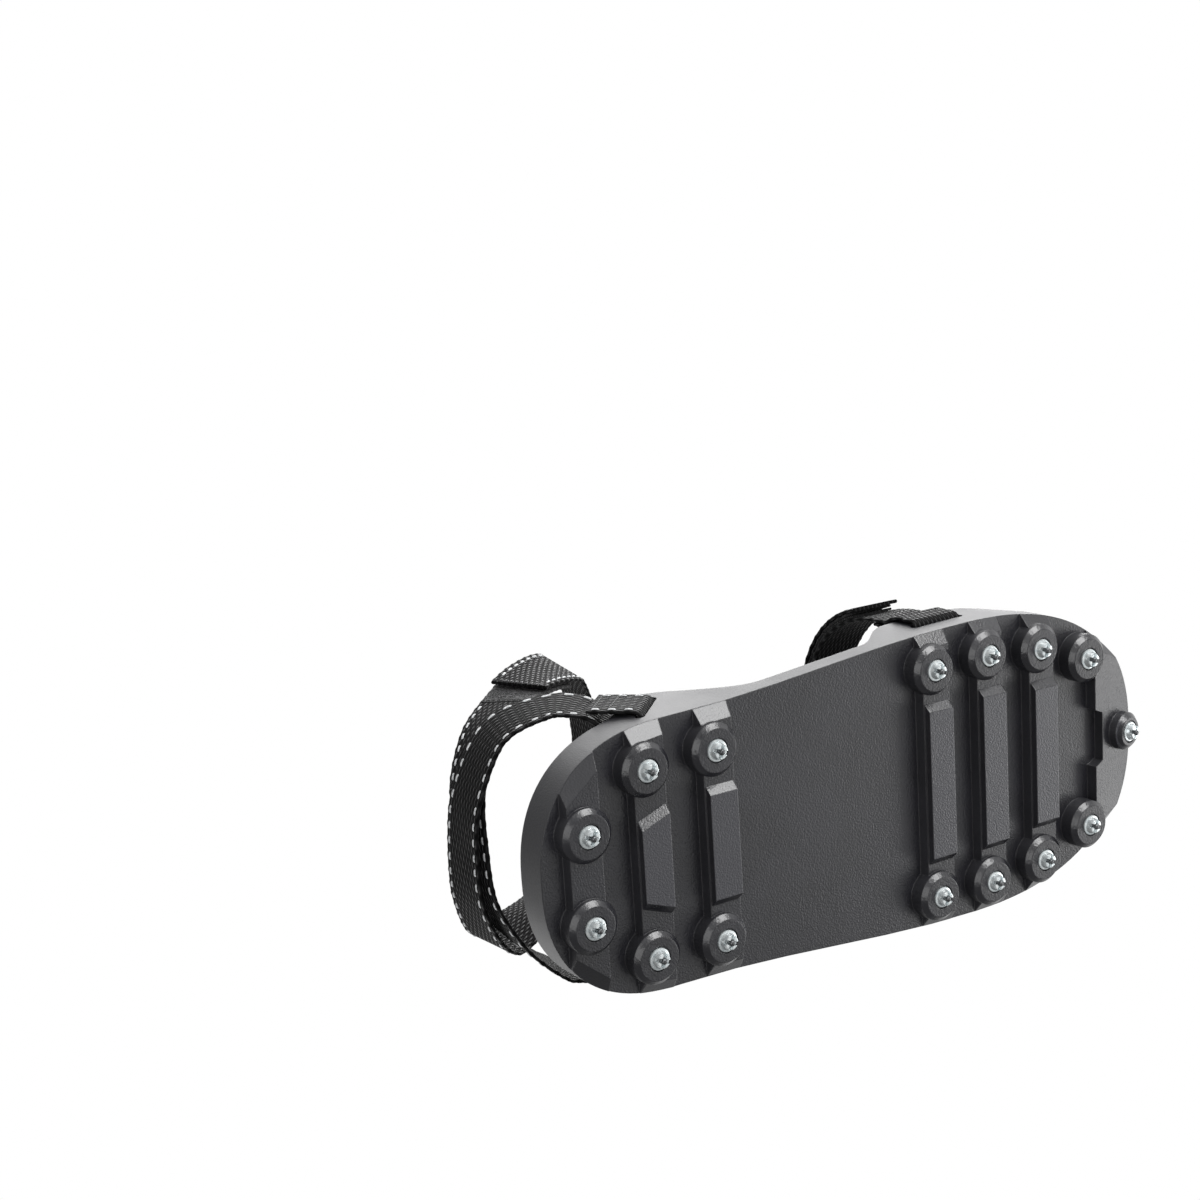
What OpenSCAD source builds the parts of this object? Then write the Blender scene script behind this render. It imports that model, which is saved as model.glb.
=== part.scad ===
// Anti-slip overshoe for the right foot: a moulded tray with studded tread bars, held on a boot
// by a toe strap, a forefoot strap and two straps that cross behind the heel and close at the ankle.
// The toe points along -Y, the inner side of the foot is +X, and the stud points stand on z = 0.
// A station is a distance along the sole from its rear end, and a height is measured from z = 0.

/* [Sole] */
// Length of the sole from its rear end to its toe end
sole_length = 308; // [290:1:330]
// Half of the sole's width at the heel
heel_half_width = 54.5; // [50:0.5:58]
// Half of the sole's width at the ball of the foot
ball_half_width = 64.5; // [60:0.5:70]
// Length of the rounded heel end
heel_round = 60; // [54:1:66]
// Length of the rounded toe end
toe_round = 93; // [85:1:100]
// Squareness of the rounded ends: 2 is an ellipse
end_power = 2.35; // [2.1:0.05:2.6]
// Height of the sole's underside above the stud points
sole_height = 12; // [11:0.5:14]
// Thickness of the sole plate
plate_thickness = 4; // [3.5:0.5:6]

/* [Rim] */
// Thickness of the rim wall
wall = 3; // [2.5:0.25:3.5]
// Rim height above the underside along the waist
rim_waist = 9; // [7:0.5:11]
// Rim height at the toe
rim_toe = 17; // [15:0.5:20]
// Rim height at the back of the heel
rim_heel = 15; // [13:0.5:18]
// Rim height of the two forefoot ears
rim_forefoot_ear = 24; // [22:0.5:28]
// Rim height of the two heel ears
rim_heel_ear = 33; // [31:0.5:36]
// Station of the middle of the forefoot ears
forefoot_ear_station = 207; // [203:0.5:211]
// Station of the middle of the heel slots
heel_slot_station = 61; // [58:0.5:64]

/* [Slots] */
// Height of every strap slot across the webbing
slot_height = 4; // [3.5:0.25:5]
// Room on each side of the webbing in a slot
slot_side_room = 1.5; // [1:0.25:3]
// Height of the toe slot's middle above the underside
toe_slot_rise = 9; // [8:0.5:10]
// Height of the forefoot slots' middle above the underside
forefoot_slot_rise = 11.5; // [10:0.5:13]
// Height of the heel slots' middle above the underside
heel_slot_rise = 16; // [15:0.5:17]
// Angle of the heel straps above the sole, up and backwards
heel_strap_angle = 45; // [42:1:48]

/* [Tread] */
// Station of the rear bar
rear_bar_station = 17.5; // [15:0.5:20]
// Half of the distance between the rear bar's studs
rear_stud_half = 18; // [15:0.5:21]
// Station of the first heel bar
heel_bar_station = 45; // [42:0.5:48]
// Distance between the two heel bars
heel_bar_pitch = 32; // [28:0.5:36]
// Distance from the toe end back to the front bar's studs
front_bar_setback = 59; // [57:0.5:62]
// Distance between the forefoot bars
forefoot_bar_pitch = 30; // [28:0.5:31]
// Distance from the toe end back to the two lone toe bosses
toe_boss_setback = 31; // [29:0.5:33]
// Distance from the toe end back to the toe stud
toe_stud_setback = 6; // [5:0.5:8]
// Forward lean of the toe stud
toe_stud_lean = 10; // [0:1:14]
// Distance of the heel studs in from the sole's edge
heel_stud_inset = 16; // [15:0.5:18]
// Distance of the forefoot studs in from the sole's edge
forefoot_stud_inset = 14.4; // [13:0.2:17]
// Width of a tread bar
bar_width = 14; // [12:0.5:16]
// Distance of a bar's middle forward of its studs
bar_lead = 2.5; // [0:0.5:4]
// Height of a tread bar
bar_height = 4.5; // [3:0.25:5.5]
// Length of the slope at each end of a bar, in from the sole's edge
bar_end_slope = 5.5; // [3:0.5:7]
// Height of the raised pad on a bar, from the underside
pad_height = 7.5; // [6:0.25:8]
// Distance from a stud to the end of the pad on its bar
pad_end_gap = 17.5; // [15:0.5:20]
// Length of the chamfered riser at the end of a pad
pad_riser = 3; // [1:0.5:4]
// Slant of the ends of the rearmost heel pad, which follow the round of the heel
rear_pad_slant = 20; // [0:1:30]
// Distance from a stud to the slanted end of the rearmost heel pad
rear_pad_end_gap = 21; // [18:0.5:25]
// Diameter of a stud boss
boss_diameter = 21.5; // [18:0.5:22]
// Diameter of the toe stud's boss
toe_boss_diameter = 17; // [16:0.5:18]
// Chamfer round the face of a stud boss
boss_chamfer = 2; // [1:0.25:2.75]
// Height of a stud boss from the underside
boss_height = 8; // [7:0.25:9]
// Length of the toe lug along the sole
toe_lug_length = 25; // [22:0.5:26]
// Depth of the toe lug at its inner edge
toe_lug_depth = 5.5; // [4:0.25:6.5]
// Depth of the toe lug at the toe end
toe_lug_tip = 1.5; // [1:0.25:3]
// Half width of the notch in the toe lug's inner edge
toe_notch_half = 11; // [8:0.5:14]
// Depth of the notch in the toe lug's inner edge
toe_notch_depth = 5; // [3:0.5:7]

/* [Studs] */
// Diameter of a stud's disc
disc_diameter = 9; // [8:0.25:10]
// Thickness of a stud's disc
disc_thickness = 1.2; // [1:0.1:1.5]
// Gap round a disc in its recess
disc_gap = 0.5; // [0.3:0.1:0.8]
// Depth of the recess in a boss face
recess_depth = 1; // [0.6:0.1:1.4]
// Diameter of a stud's crown
crown_diameter = 6.2; // [5.6:0.1:6.8]
// Depth of the slots across a crown
crown_slot_depth = 1.2; // [0.6:0.1:1.6]
// Width of the slots across a crown
crown_slot_width = 1.1; // [0.8:0.1:1.4]
// Length of the carbide pin beyond the crown
pin_reach = 1.1; // [0.6:0.1:1.6]
// Diameter of the carbide pin
pin_diameter = 2.4; // [2:0.1:2.8]
// Depth of the carbide pin's bore in the crown
pin_bore_depth = 3; // [2:0.25:4]
// Diameter of a stud's shank
shank_diameter = 4.4; // [4:0.1:5]
// Diameter of the flange at the root of a stud
root_diameter = 9; // [7:0.25:10]
// Thickness of the flange at the root of a stud
root_thickness = 1.5; // [1:0.25:2]
// Depth of the root flange's outer face inside the sole plate
root_depth = 2; // [1.75:0.25:2.5]

/* [Straps] */
// Width of the webbing
web_width = 25; // [23:0.5:27]
// Thickness of the webbing
web_thickness = 1.6; // [1.4:0.1:1.8]
// Thickness of a hook patch or a loop patch
patch_thickness = 1.2; // [1:0.1:1.4]
// How much narrower a patch is than the webbing
patch_margin = 2; // [1:0.5:4]
// Gap between layers that come apart
layer_gap = 0.3; // [0.3:0.05:0.5]
// Gap between a webbing loop and the rubber that it goes round
loop_gap = 0.4; // [0.4:0.05:0.6]
// Height of the boot's instep under the forefoot strap
instep_height = 100; // [92:1:110]
// Height at which the toe strap has left the rim
toe_strap_foot = 34; // [33:0.5:36]
// Height at which the forefoot strap has left the rim
forefoot_strap_foot = 44; // [42:0.5:48]
// Squareness of the forefoot strap's arch
arch_power = 2.4; // [2.2:0.1:2.8]
// Squareness of the toe strap's curve
toe_power = 2.3; // [2.1:0.1:2.6]
// Distance from the foot's middle to the peel line of the forefoot strap
forefoot_peel = 16; // [15:0.5:20]
// Height of the loose end of the forefoot strap
forefoot_tail_end = 62; // [56:1:70]
// Distance from the forefoot strap to the toe strap's peel line
toe_peel_lead = 7; // [5:0.5:10]
// Height of the loose end of the toe strap
toe_tail_end = 46; // [42:1:56]
// Distance along the heel straps from their slots to their swing axis
heel_swing_reach = 22; // [21:0.5:24]
// Length of the heel loops past the swing axis
heel_tab_length = 8; // [6:0.5:10]
// Height of the crossing behind the heel
crossing_height = 70; // [66:1:76]
// Height of the ankle strap at the front of the ankle
ankle_front_height = 162; // [150:1:172]
// Half of the ankle's width between the straps
ankle_half_width = 47; // [44:0.5:50]
// Station of the ankle strap at the front of the ankle
ankle_front_station = 113; // [106:1:118]

/* [Hidden] */
$fn = 48;

rubber = "#2b2c2e";
zinc = "#c9ced4";
carbide = "#55585c";
webbing = "#18181a";
pile = "#0f0f11";

lateral = -1;
medial = 1;
eps = 0.01;
// How far a moulded feature runs into the one that it grows from
weld = 1;

// Heights of the sole's faces and of the studs' faces
bed_z = sole_height + plate_thickness;
boss_z = sole_height - boss_height;
disc_top_z = boss_z + recess_depth;
crown_top_z = disc_top_z - disc_thickness;
crown_z = pin_reach;
root_z = sole_height + plate_thickness - root_depth - root_thickness;
fit_gap = 0.05;
peel_gap = 0.5;
pin_gap = 0.02;

// Stations of the studs
front_bar_station = sole_length - front_bar_setback;
toe_boss_station = sole_length - toe_boss_setback;
toe_stud_station = sole_length - toe_stud_setback;
heel_bars = [heel_bar_station, heel_bar_station + heel_bar_pitch];
forefoot_bars = [for (i = [2:-1:0]) front_bar_station - i * forefoot_bar_pitch];

// Thickness of a closed strap: webbing, loop patch, gap and hook patch below the outer webbing
stack = web_thickness + patch_thickness + layer_gap + patch_thickness;
// Gap between a patch and the webbing that it is sewn to
sewn_gap = 0.1;
// Height of the forefoot strap over the toe strap where the two cross
crest_room = 0.5;
crest_lift = web_thickness + layer_gap + crest_room;

// The heel ears: station of the peak, and the lengths of the slopes behind and before it
ear_lead = 7;
ear_peak = heel_slot_station + ear_lead;
ear_back = 28;
ear_front = 42;
// The forefoot ears: half length at the foot and length of each slope; the same for the toe's rise
forefoot_ear_reach = 44;
forefoot_ear_slope = 24;
toe_rim_setback = 50;
toe_rim_slope = 36;

// Legs of the webbing loops: how far the sole's edge wanders along the width of a strap,
// where the slanting heel straps reach a larger share of it than half
slant_share = 0.7;
forefoot_edge = half_width(forefoot_ear_station);
forefoot_wander = half_width(forefoot_ear_station + web_width / 2) - forefoot_edge;
forefoot_fall = forefoot_edge - half_width(forefoot_ear_station - web_width / 2);
heel_edge = half_width(heel_slot_station);
heel_wander = half_width(heel_slot_station + web_width / 2) - heel_edge;
heel_fall = heel_edge - half_width(heel_slot_station - web_width * slant_share);
toe_fall = sole_length - toe_edge(web_width / 2);

forefoot_out = forefoot_edge + max(forefoot_wander, 0) + loop_gap + web_thickness / 2;
forefoot_in = forefoot_edge - wall - max(forefoot_fall, 0) - loop_gap - web_thickness / 2;
heel_out = heel_edge + max(heel_wander, 0) + loop_gap + web_thickness / 2;
heel_in = heel_edge - wall - max(heel_fall, 0) - loop_gap - web_thickness / 2;
toe_out = sole_length + loop_gap + web_thickness / 2;
toe_in = sole_length - wall - toe_fall - loop_gap - web_thickness / 2;

// The whole part is centred along Y between the crossing straps and the toe loop
crossing_gap = 4.6;
crossing_station = 3;
rear_reach = crossing_gap - crossing_station + web_thickness / 2;
front_reach = max(
    toe_out + web_thickness / 2,
    toe_stud_station + toe_boss_diameter / 2 * cos(toe_stud_lean) - boss_chamfer * sin(toe_stud_lean)
);
middle_station = (front_reach - rear_reach) / 2;

// Swing axis of the ankle straps, and where the webbing of the heel straps lies across the foot
swing_station = heel_slot_station - heel_swing_reach * cos(heel_strap_angle);
swing_z = sole_height + heel_slot_rise + heel_swing_reach * sin(heel_strap_angle);
swing_gap = 0.6;
strap_x = heel_out + web_thickness + swing_gap;
// The heel straps leave the rim this far behind the middle of their slots
heel_leave = 7.5;
heel_bar_reach = (rim(heel_slot_station - heel_leave) - heel_slot_rise) / sin(heel_strap_angle);

function y_at(station) = middle_station - station;
function smooth(t) = let (c = min(max(t, 0), 1)) c * c * (3 - 2 * c);
function unit(v) = v / norm(v);

// Half width of the sole at a station: rounded heel, widening middle, rounded toe
function half_width(station) =
    let (toe_start = sole_length - toe_round)
    station < heel_round
        ? heel_half_width * rounded(min((heel_round - station) / heel_round, 1))
        : station > toe_start
            ? ball_half_width * rounded(min((station - toe_start) / toe_round, 1))
            : heel_half_width + (ball_half_width - heel_half_width)
                * smooth((station - heel_round) / (toe_start - heel_round));
function rounded(t) = pow(1 - pow(t, end_power), 1 / end_power);
// Station of the toe's edge at a distance from the middle
function toe_edge(x) = sole_length - toe_round + toe_round * rounded(x / ball_half_width);

// Rim height above the underside at a station: level heel, heel ear, low waist, forefoot ear, toe
function rim(station) =
    station < ear_peak
        ? rim_heel + (rim_heel_ear - rim_heel) * smooth((station - ear_peak + ear_back) / ear_back)
        : rim_waist
            + (rim_heel_ear - rim_waist) * smooth((ear_peak + ear_front - station) / ear_front)
            + (rim_forefoot_ear - rim_waist) * forefoot_ear(station)
            + (rim_toe - rim_waist) * smooth((station - sole_length + toe_rim_setback) / toe_rim_slope);
function forefoot_ear(station) =
    smooth((forefoot_ear_reach - abs(station - forefoot_ear_station)) / forefoot_ear_slope);

// The sole's outline, drawn in by an inset, as points round from the rear end
function outline(inset) =
    let (
        n = 26,
        side = concat(
            [for (i = [0:n]) heel_point(90 * i / n, inset)],
            [for (i = [1:5]) let (s = heel_round + (sole_length - toe_round - heel_round) * i / 6)
                [half_width(s) - inset, y_at(s)]],
            [for (i = [n:-1:0]) toe_point(90 * i / n, inset)]
        ),
        last = len(side) - 1
    )
    concat(side, [for (i = [last - 1:-1:1]) [-side[i][0], side[i][1]]]);
function heel_point(angle, inset) = [
    (heel_half_width - inset) * pow(sin(angle), 2 / end_power),
    y_at(heel_round - (heel_round - inset) * pow(max(cos(angle), 0), 2 / end_power))
];
function toe_point(angle, inset) = [
    (ball_half_width - inset) * pow(sin(angle), 2 / end_power),
    y_at(sole_length - toe_round + (toe_round - inset) * pow(max(cos(angle), 0), 2 / end_power))
];

// A strip of webbing beside a flat path: points at two distances along the path's left normal
function path_normal(path, i) =
    let (a = path[max(i - 1, 0)], b = path[min(i + 1, len(path) - 1)], t = unit(b - a)) [-t[1], t[0]];
function strip(path, near, far) = concat(
    [for (i = [0:len(path) - 1]) path[i] + near[i] * path_normal(path, i)],
    [for (i = [len(path) - 1:-1:0]) path[i] + far[i] * path_normal(path, i)]
);
function even(path, d) = [for (p = path) d];

// Path of a webbing loop in its own plane: out is away from the foot, up is along the strap.
// It runs from the inner end down inside the rim, through the slot and up outside to the outer end.
turn_room = 0.5;
rim_room = 2;
leg_gap = 0.3;
leg_rise = 6;
function loop_path(in, out, slot_top, rim_top, inner_end, outer_end) =
    let (
        mid = (in + out) / 2, r = (out - in) / 2,
        turn = slot_top + max(turn_room, r + web_thickness / 2 + leg_gap - slot_height)
    )
    concat(
        [for (i = [0:5]) let (b = inner_end[1] + (rim_top + rim_room - inner_end[1]) * i / 5)
            [inner_end[0] + (in - inner_end[0]) * smooth(i / 5), b]],
        [for (a = [180:20:360]) [mid + r * cos(a), turn + r * sin(a)]],
        [for (i = [0:5]) let (b = rim_top - turn_room + (outer_end[1] - rim_top + turn_room) * i / 5)
            [out + (outer_end[0] - out) * smooth(i / 5), b]]
    );

// Curve of the boot under the forefoot strap, from the outer side's rim over to the inner side
arch_half = (forefoot_in + forefoot_out) / 2 - web_thickness / 2;
arch_rise = instep_height - forefoot_strap_foot;
function arch_point(angle) = [
    -arch_half * sign(cos(angle)) * pow(abs(cos(angle)), 2 / arch_power),
    forefoot_strap_foot + arch_rise * pow(abs(sin(angle)), 2 / arch_power)
];
function arch_angle_at(x) = acos(-sign(x) * pow(abs(x) / arch_half, arch_power / 2));
function arch_angle_up(z) = asin(pow((z - forefoot_strap_foot) / arch_rise, arch_power / 2));
function arch(from, to, n) = [for (i = [0:n]) arch_point(from + (to - from) * i / n)];

// Curve of the boot under the toe strap, from the crest forward and down to the toe rim
toe_rise = instep_height - toe_strap_foot;
toe_join = (toe_in + toe_out) / 2;
toe_span = toe_join - web_thickness / 2 - forefoot_ear_station;
function toe_curve(angle) = [
    forefoot_ear_station + toe_span * pow(max(cos(angle), 0), 2 / toe_power),
    toe_strap_foot + toe_rise * pow(max(sin(angle), 0), 2 / toe_power)
];
function toe_angle_at(station) = acos(pow((station - forefoot_ear_station) / toe_span, toe_power / 2));
function toe_angle_up(z) = asin(pow((z - toe_strap_foot) / toe_rise, toe_power / 2));
function toe_run(from, to, n) = [for (i = [0:n]) toe_curve(from + (to - from) * i / n)];

// Smooth curve through a list of points, and its direction
function spline_point(p, t) =
    let (
        i = min(floor(t), len(p) - 2), f = t - i,
        a = p[max(i - 1, 0)], b = p[i], c = p[i + 1], d = p[min(i + 2, len(p) - 1)]
    )
    0.5 * (2 * b + (c - a) * f + (2 * a - 5 * b + 4 * c - d) * f * f
        + (3 * b - a - 3 * c + d) * f * f * f);
spline_step = 0.02;
function spline_way(p, t) = unit(
    spline_point(p, min(t + spline_step, len(p) - 1)) - spline_point(p, max(t - spline_step, 0))
);
// Outward direction of a strap that lies on the ankle, square to its way
function ankle_out(q, way) =
    let (flat = unit([q[0], q[1] - y_at(swing_station), 0])) unit(flat - (flat * way) * way);

// One webbing section: four corners across a strap, between two distances out from its curve
function strap_ring(p, t, near, far, width) =
    let (
        q = spline_point(p, t), way = spline_way(p, t),
        out = ankle_out(q, way), side = cross(way, out) * width / 2
    )
    [q + near * out - side, q + near * out + side, q + far * out + side, q + far * out - side];

// Route of the inner heel strap, from the inner side's swing axis behind the heel to the outer ankle
function ankle_height(station) = crossing_height
    + (ankle_front_height - crossing_height) * (station - crossing_station)
        / (ankle_front_station - crossing_station);
function ankle_at(x, station, lift) = [x, y_at(station), ankle_height(station) + lift];
function heel_side(side, x, station, share) =
    [side * x, y_at(station), swing_z + (crossing_height - swing_z) * share];
// The start of both routes, level with the swing axis and then on the way to the crossing
heel_run = 12;
heel_climb = [0.42, 0.74, 0.88];
function heel_start(side) = [
    heel_side(side, strap_x, swing_station, 0),
    heel_side(side, strap_x, swing_station - heel_run, heel_climb[0])
];
// Places behind the heel: [distance in from the sole's half width, distance ahead of the crossing]
inner_heel = [[12, 14], [32.5, 2]];
outer_heel = [[7, 10], [31, -2.5]];
function heel_back(side, places) = [for (i = [0:1])
    heel_side(side, heel_half_width - places[i][0], crossing_station + places[i][1], heel_climb[i + 1])];
// Places on the ankle: [share of its half width, distance ahead of the crossing, lift]
inner_ankle = [[-0.51, 2.5, 3], [-0.89, 19, 2], [-1, 42, 0], [-1, 64, 0], [-0.9, 86, 0], [-0.66, 101, 0]];
outer_ankle = [[0.53, -1.5, 5], [1.04, 15, 4], [1.03, 42, 0], [1, 68, 0], [0.74, 93, 0]];
// Places over the front of the ankle: [share of its half width, distance behind the front]
outer_front = [[0.3, 1], [-0.2, 0], [-0.66, 9]];
function ankle_places(places) =
    [for (p = places) ankle_at(ankle_half_width * p[0], crossing_station + p[1], p[2])];
inner_route = concat(
    heel_start(medial),
    heel_back(medial, inner_heel),
    [[0, y_at(crossing_station), crossing_height]],
    ankle_places(inner_ankle)
);
// Ends of the layers along the inner route, counted in its places, the slit at the peel line,
// and where the outer strap takes up the inner one's route
inner_end = 7;
patch_end = 8.5;
tail_end = 7.25;
patch_inset = 0.125;
peel = 8.75;
peel_slit = 0.05;
join = 9;
ring_step = 0.125;
tail_lift = web_thickness + layer_gap + patch_thickness + sewn_gap;

// Route of the outer heel strap, round behind the other and over the front down to the peel line
function inner_lifted(t) =
    let (q = spline_point(inner_route, t)) q + tail_lift * ankle_out(q, spline_way(inner_route, t));
outer_route = concat(
    heel_start(lateral),
    heel_back(lateral, outer_heel),
    [[0, y_at(crossing_station - crossing_gap), crossing_height]],
    ankle_places(outer_ankle),
    [for (p = outer_front) ankle_at(ankle_half_width * p[0], ankle_front_station - p[1], 0)],
    [inner_lifted(join), inner_lifted(peel)]
);

module sole_slab(inset, from_z, to_z) {
    translate([0, 0, from_z])
        linear_extrude(to_z - from_z)
            polygon(outline(inset));
}

// A shape drawn as station against height, carried across the foot
module across(half) {
    translate([-half, 0, 0])
        rotate([90, 0, 90])
            linear_extrude(2 * half)
                children();
}

// A shape drawn as distance across the foot against height, carried along the sole
module along(station, length) {
    translate([0, y_at(station) + length / 2, 0])
        rotate([90, 0, 0])
            linear_extrude(length)
                children();
}

module rim_profile() {
    n = 84;
    front = sole_length + 1;
    tops = [for (i = [0:n]) let (s = -1 + (front + 1) * i / n) [y_at(s), sole_height + rim(s)]];
    polygon(concat([[y_at(front), sole_height]], [[y_at(-1), sole_height]], tops));
}

// A rounded slot cut through both walls, tilted in the side view
module side_slot(station, z, angle, length) {
    straight = (length - slot_height) / 2;
    translate([0, y_at(station), z])
        rotate([angle, 0, 0]) {
            cube([4 * ball_half_width, 2 * straight, slot_height], center = true);
            for (end = [-1, 1])
                translate([0, end * straight, 0])
                    rotate([0, 90, 0])
                        cylinder(h = 4 * ball_half_width, d = slot_height, center = true);
        }
}

module toe_slot() {
    straight = web_width / 2 + slot_side_room - slot_height / 2;
    translate([0, y_at(sole_length), sole_height + toe_slot_rise])
        rotate([90, 0, 0]) {
            cube([2 * straight, slot_height, 12 * wall], center = true);
            for (end = [-1, 1])
                translate([end * straight, 0, 0])
                    cylinder(h = 12 * wall, d = slot_height, center = true);
        }
}

// The wedge taken off one end of a bar of a given depth, square to the sole's edge there
module bar_end_cut(station, side, depth) {
    widening = (half_width(station + 1) - half_width(station - 1)) / 2;
    run = bar_end_slope / bar_height;
    drop = depth + weld;
    translate([side * half_width(station), y_at(station), sole_height])
        rotate([90, 0, side * atan(widening)])
            linear_extrude(4 * bar_width, center = true)
                polygon([
                    [0, 0],
                    [side * bar_width, 0],
                    [side * bar_width, -drop],
                    [-side * run * drop, -drop]
                ]);
}

module tread_bar(station) {
    foot = 0.75;
    half = bar_width / 2;
    difference() {
        intersection() {
            sole_slab(0, sole_height - bar_height, sole_height + eps);
            across(ball_half_width + weld)
                polygon([
                    [y_at(station) - half - 2 * foot, sole_height + weld],
                    [y_at(station) + half + foot, sole_height + weld],
                    [y_at(station) + half, sole_height - bar_height - weld],
                    [y_at(station) - half, sole_height - bar_height - weld]
                ]);
        }
        for (side = [-1, 1])
            bar_end_cut(station, side, bar_height);
    }
}

// What is cut away beyond the riser at one end of a pad
module pad_end_cut(station, side, half_length, slant) {
    step = pad_height - bar_height;
    run = side * pad_riser / step;
    translate([side * half_length, y_at(station), sole_height - pad_height])
        rotate([90, 0, side * slant])
            linear_extrude(3 * bar_width, center = true)
                polygon([
                    [-run * weld, -weld],
                    [side * 4 * bar_width, -weld],
                    [side * 4 * bar_width, step + 2 * weld],
                    [run * (step + 2 * weld), step + 2 * weld]
                ]);
}

module bar_pad(station, half_length, slant) {
    ledge = 0.5;
    reach = half_length + pad_riser + bar_width;
    difference() {
        along(station, bar_width - 2 * ledge)
            polygon([
                [-reach, sole_height - bar_height + weld],
                [reach, sole_height - bar_height + weld],
                [reach, sole_height - pad_height],
                [-reach, sole_height - pad_height]
            ]);
        for (side = [-1, 1])
            pad_end_cut(station, side, half_length, slant);
    }
}

// Boss under the sole, in the frame of its stud
module boss(diameter) {
    translate([0, 0, boss_z + boss_chamfer])
        cylinder(h = boss_height - boss_chamfer + weld, d = diameter);
    translate([0, 0, boss_z])
        cylinder(h = boss_chamfer, d1 = diameter - 2 * boss_chamfer, d2 = diameter);
}

module stud_cavity() {
    translate([0, 0, boss_z - 1])
        cylinder(h = recess_depth + 1, d = disc_diameter + 2 * disc_gap);
    translate([0, 0, boss_z])
        cylinder(h = root_z - boss_z + fit_gap, d = shank_diameter + 2 * fit_gap);
    translate([0, 0, root_z - fit_gap])
        cylinder(h = root_thickness + 2 * fit_gap, d = root_diameter + 2 * fit_gap);
}

module stud() {
    crown_turn = 20;
    difference() {
        union() {
            translate([0, 0, root_z])
                cylinder(h = root_thickness, d = root_diameter);
            translate([0, 0, disc_top_z - eps])
                cylinder(h = root_z - disc_top_z + 2 * eps, d = shank_diameter);
            translate([0, 0, crown_top_z])
                cylinder(h = disc_thickness, d = disc_diameter);
            translate([0, 0, crown_z])
                cylinder(h = crown_top_z - crown_z + eps, d = crown_diameter);
        }
        for (turn = [0, 90])
            rotate([0, 0, turn + crown_turn])
                translate([0, 0, crown_z + (crown_slot_depth - weld) / 2])
                    cube([crown_diameter + weld, crown_slot_width, crown_slot_depth + weld], center = true);
        translate([0, 0, crown_z - weld])
            cylinder(h = pin_bore_depth + weld, d = pin_diameter + 2 * pin_gap);
    }
}

// The pin stops short of the end of its bore
pin_end_gap = 0.2;
pin_tip = pin_diameter / 4;
module stud_pin() {
    cylinder(h = pin_tip, d1 = pin_diameter - 2 * pin_tip, d2 = pin_diameter);
    translate([0, 0, pin_tip])
        cylinder(h = crown_z + pin_bore_depth - pin_end_gap - pin_tip, d = pin_diameter);
}

// Places of the studs: [distance across the foot, station]
function stud_pair(station, half) = [[-half, station], [half, station]];
heel_places = concat(
    stud_pair(rear_bar_station, rear_stud_half),
    [for (s = heel_bars) each stud_pair(s, half_width(s) - heel_stud_inset)]
);
forefoot_places = concat(
    [for (s = forefoot_bars) each stud_pair(s, half_width(s) - forefoot_stud_inset)],
    stud_pair(toe_boss_station, half_width(toe_boss_station) - forefoot_stud_inset)
);

module at_place(place) {
    translate([place[0], y_at(place[1]), 0])
        children();
}

// The toe stud leans forward about a line across the face of its boss
module at_toe() {
    translate([0, y_at(toe_stud_station), boss_z])
        rotate([-toe_stud_lean, 0, 0])
            translate([0, 0, -boss_z])
                children();
}

// The toe pin sits deeper in its bore, so that the leaning pin still stands on z = 0
toe_pin_lift = ((pin_diameter / 2 - pin_tip) * sin(toe_stud_lean) - boss_z * (1 - cos(toe_stud_lean)))
    / cos(toe_stud_lean);

module toe_lug() {
    inner = sole_length - toe_lug_length;
    difference() {
        intersection() {
            sole_slab(0, sole_height - toe_lug_depth, sole_height + eps);
            across(ball_half_width + weld)
                polygon([
                    [y_at(inner), sole_height + weld],
                    [y_at(inner), sole_height - toe_lug_depth],
                    [y_at(sole_length), sole_height - toe_lug_tip],
                    [y_at(sole_length), sole_height + weld]
                ]);
        }
        translate([0, y_at(inner), sole_height - toe_lug_depth - weld])
            linear_extrude(toe_lug_depth + 2 * weld)
                polygon([
                    [-toe_notch_half - toe_notch_depth / 2, weld],
                    [-toe_notch_half, -toe_notch_depth],
                    [toe_notch_half, -toe_notch_depth],
                    [toe_notch_half + toe_notch_depth / 2, weld]
                ]);
        for (side = [-1, 1])
            bar_end_cut(inner, side, toe_lug_depth);
    }
}

module rim_wall() {
    intersection() {
        difference() {
            sole_slab(0, sole_height, sole_height + rim_heel_ear + weld);
            sole_slab(wall, sole_height - weld, sole_height + rim_heel_ear + 2 * weld);
        }
        across(ball_half_width + weld)
            rim_profile();
    }
}

module tray() {
    slot_length = web_width + 2 * slot_side_room;
    color(rubber)
        difference() {
            union() {
                sole_slab(0, sole_height, bed_z);
                rim_wall();
                tread_bar(rear_bar_station);
                for (s = concat(heel_bars, forefoot_bars))
                    tread_bar(s + bar_lead);
                bar_pad(heel_bars[0] + bar_lead,
                    half_width(heel_bars[0]) - heel_stud_inset - rear_pad_end_gap, rear_pad_slant);
                bar_pad(heel_bars[1] + bar_lead,
                    half_width(heel_bars[1]) - heel_stud_inset - pad_end_gap, 0);
                for (s = forefoot_bars)
                    bar_pad(s + bar_lead, half_width(s) - forefoot_stud_inset - pad_end_gap, 0);
                for (place = concat(heel_places, forefoot_places))
                    at_place(place)
                        boss(boss_diameter);
                toe_lug();
                at_toe()
                    boss(toe_boss_diameter);
            }
            for (place = concat(heel_places, forefoot_places))
                at_place(place)
                    stud_cavity();
            at_toe()
                stud_cavity();
            side_slot(forefoot_ear_station, sole_height + forefoot_slot_rise, 0, slot_length);
            side_slot(heel_slot_station, sole_height + heel_slot_rise, heel_strap_angle - 90, slot_length);
            toe_slot();
        }
}

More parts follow.
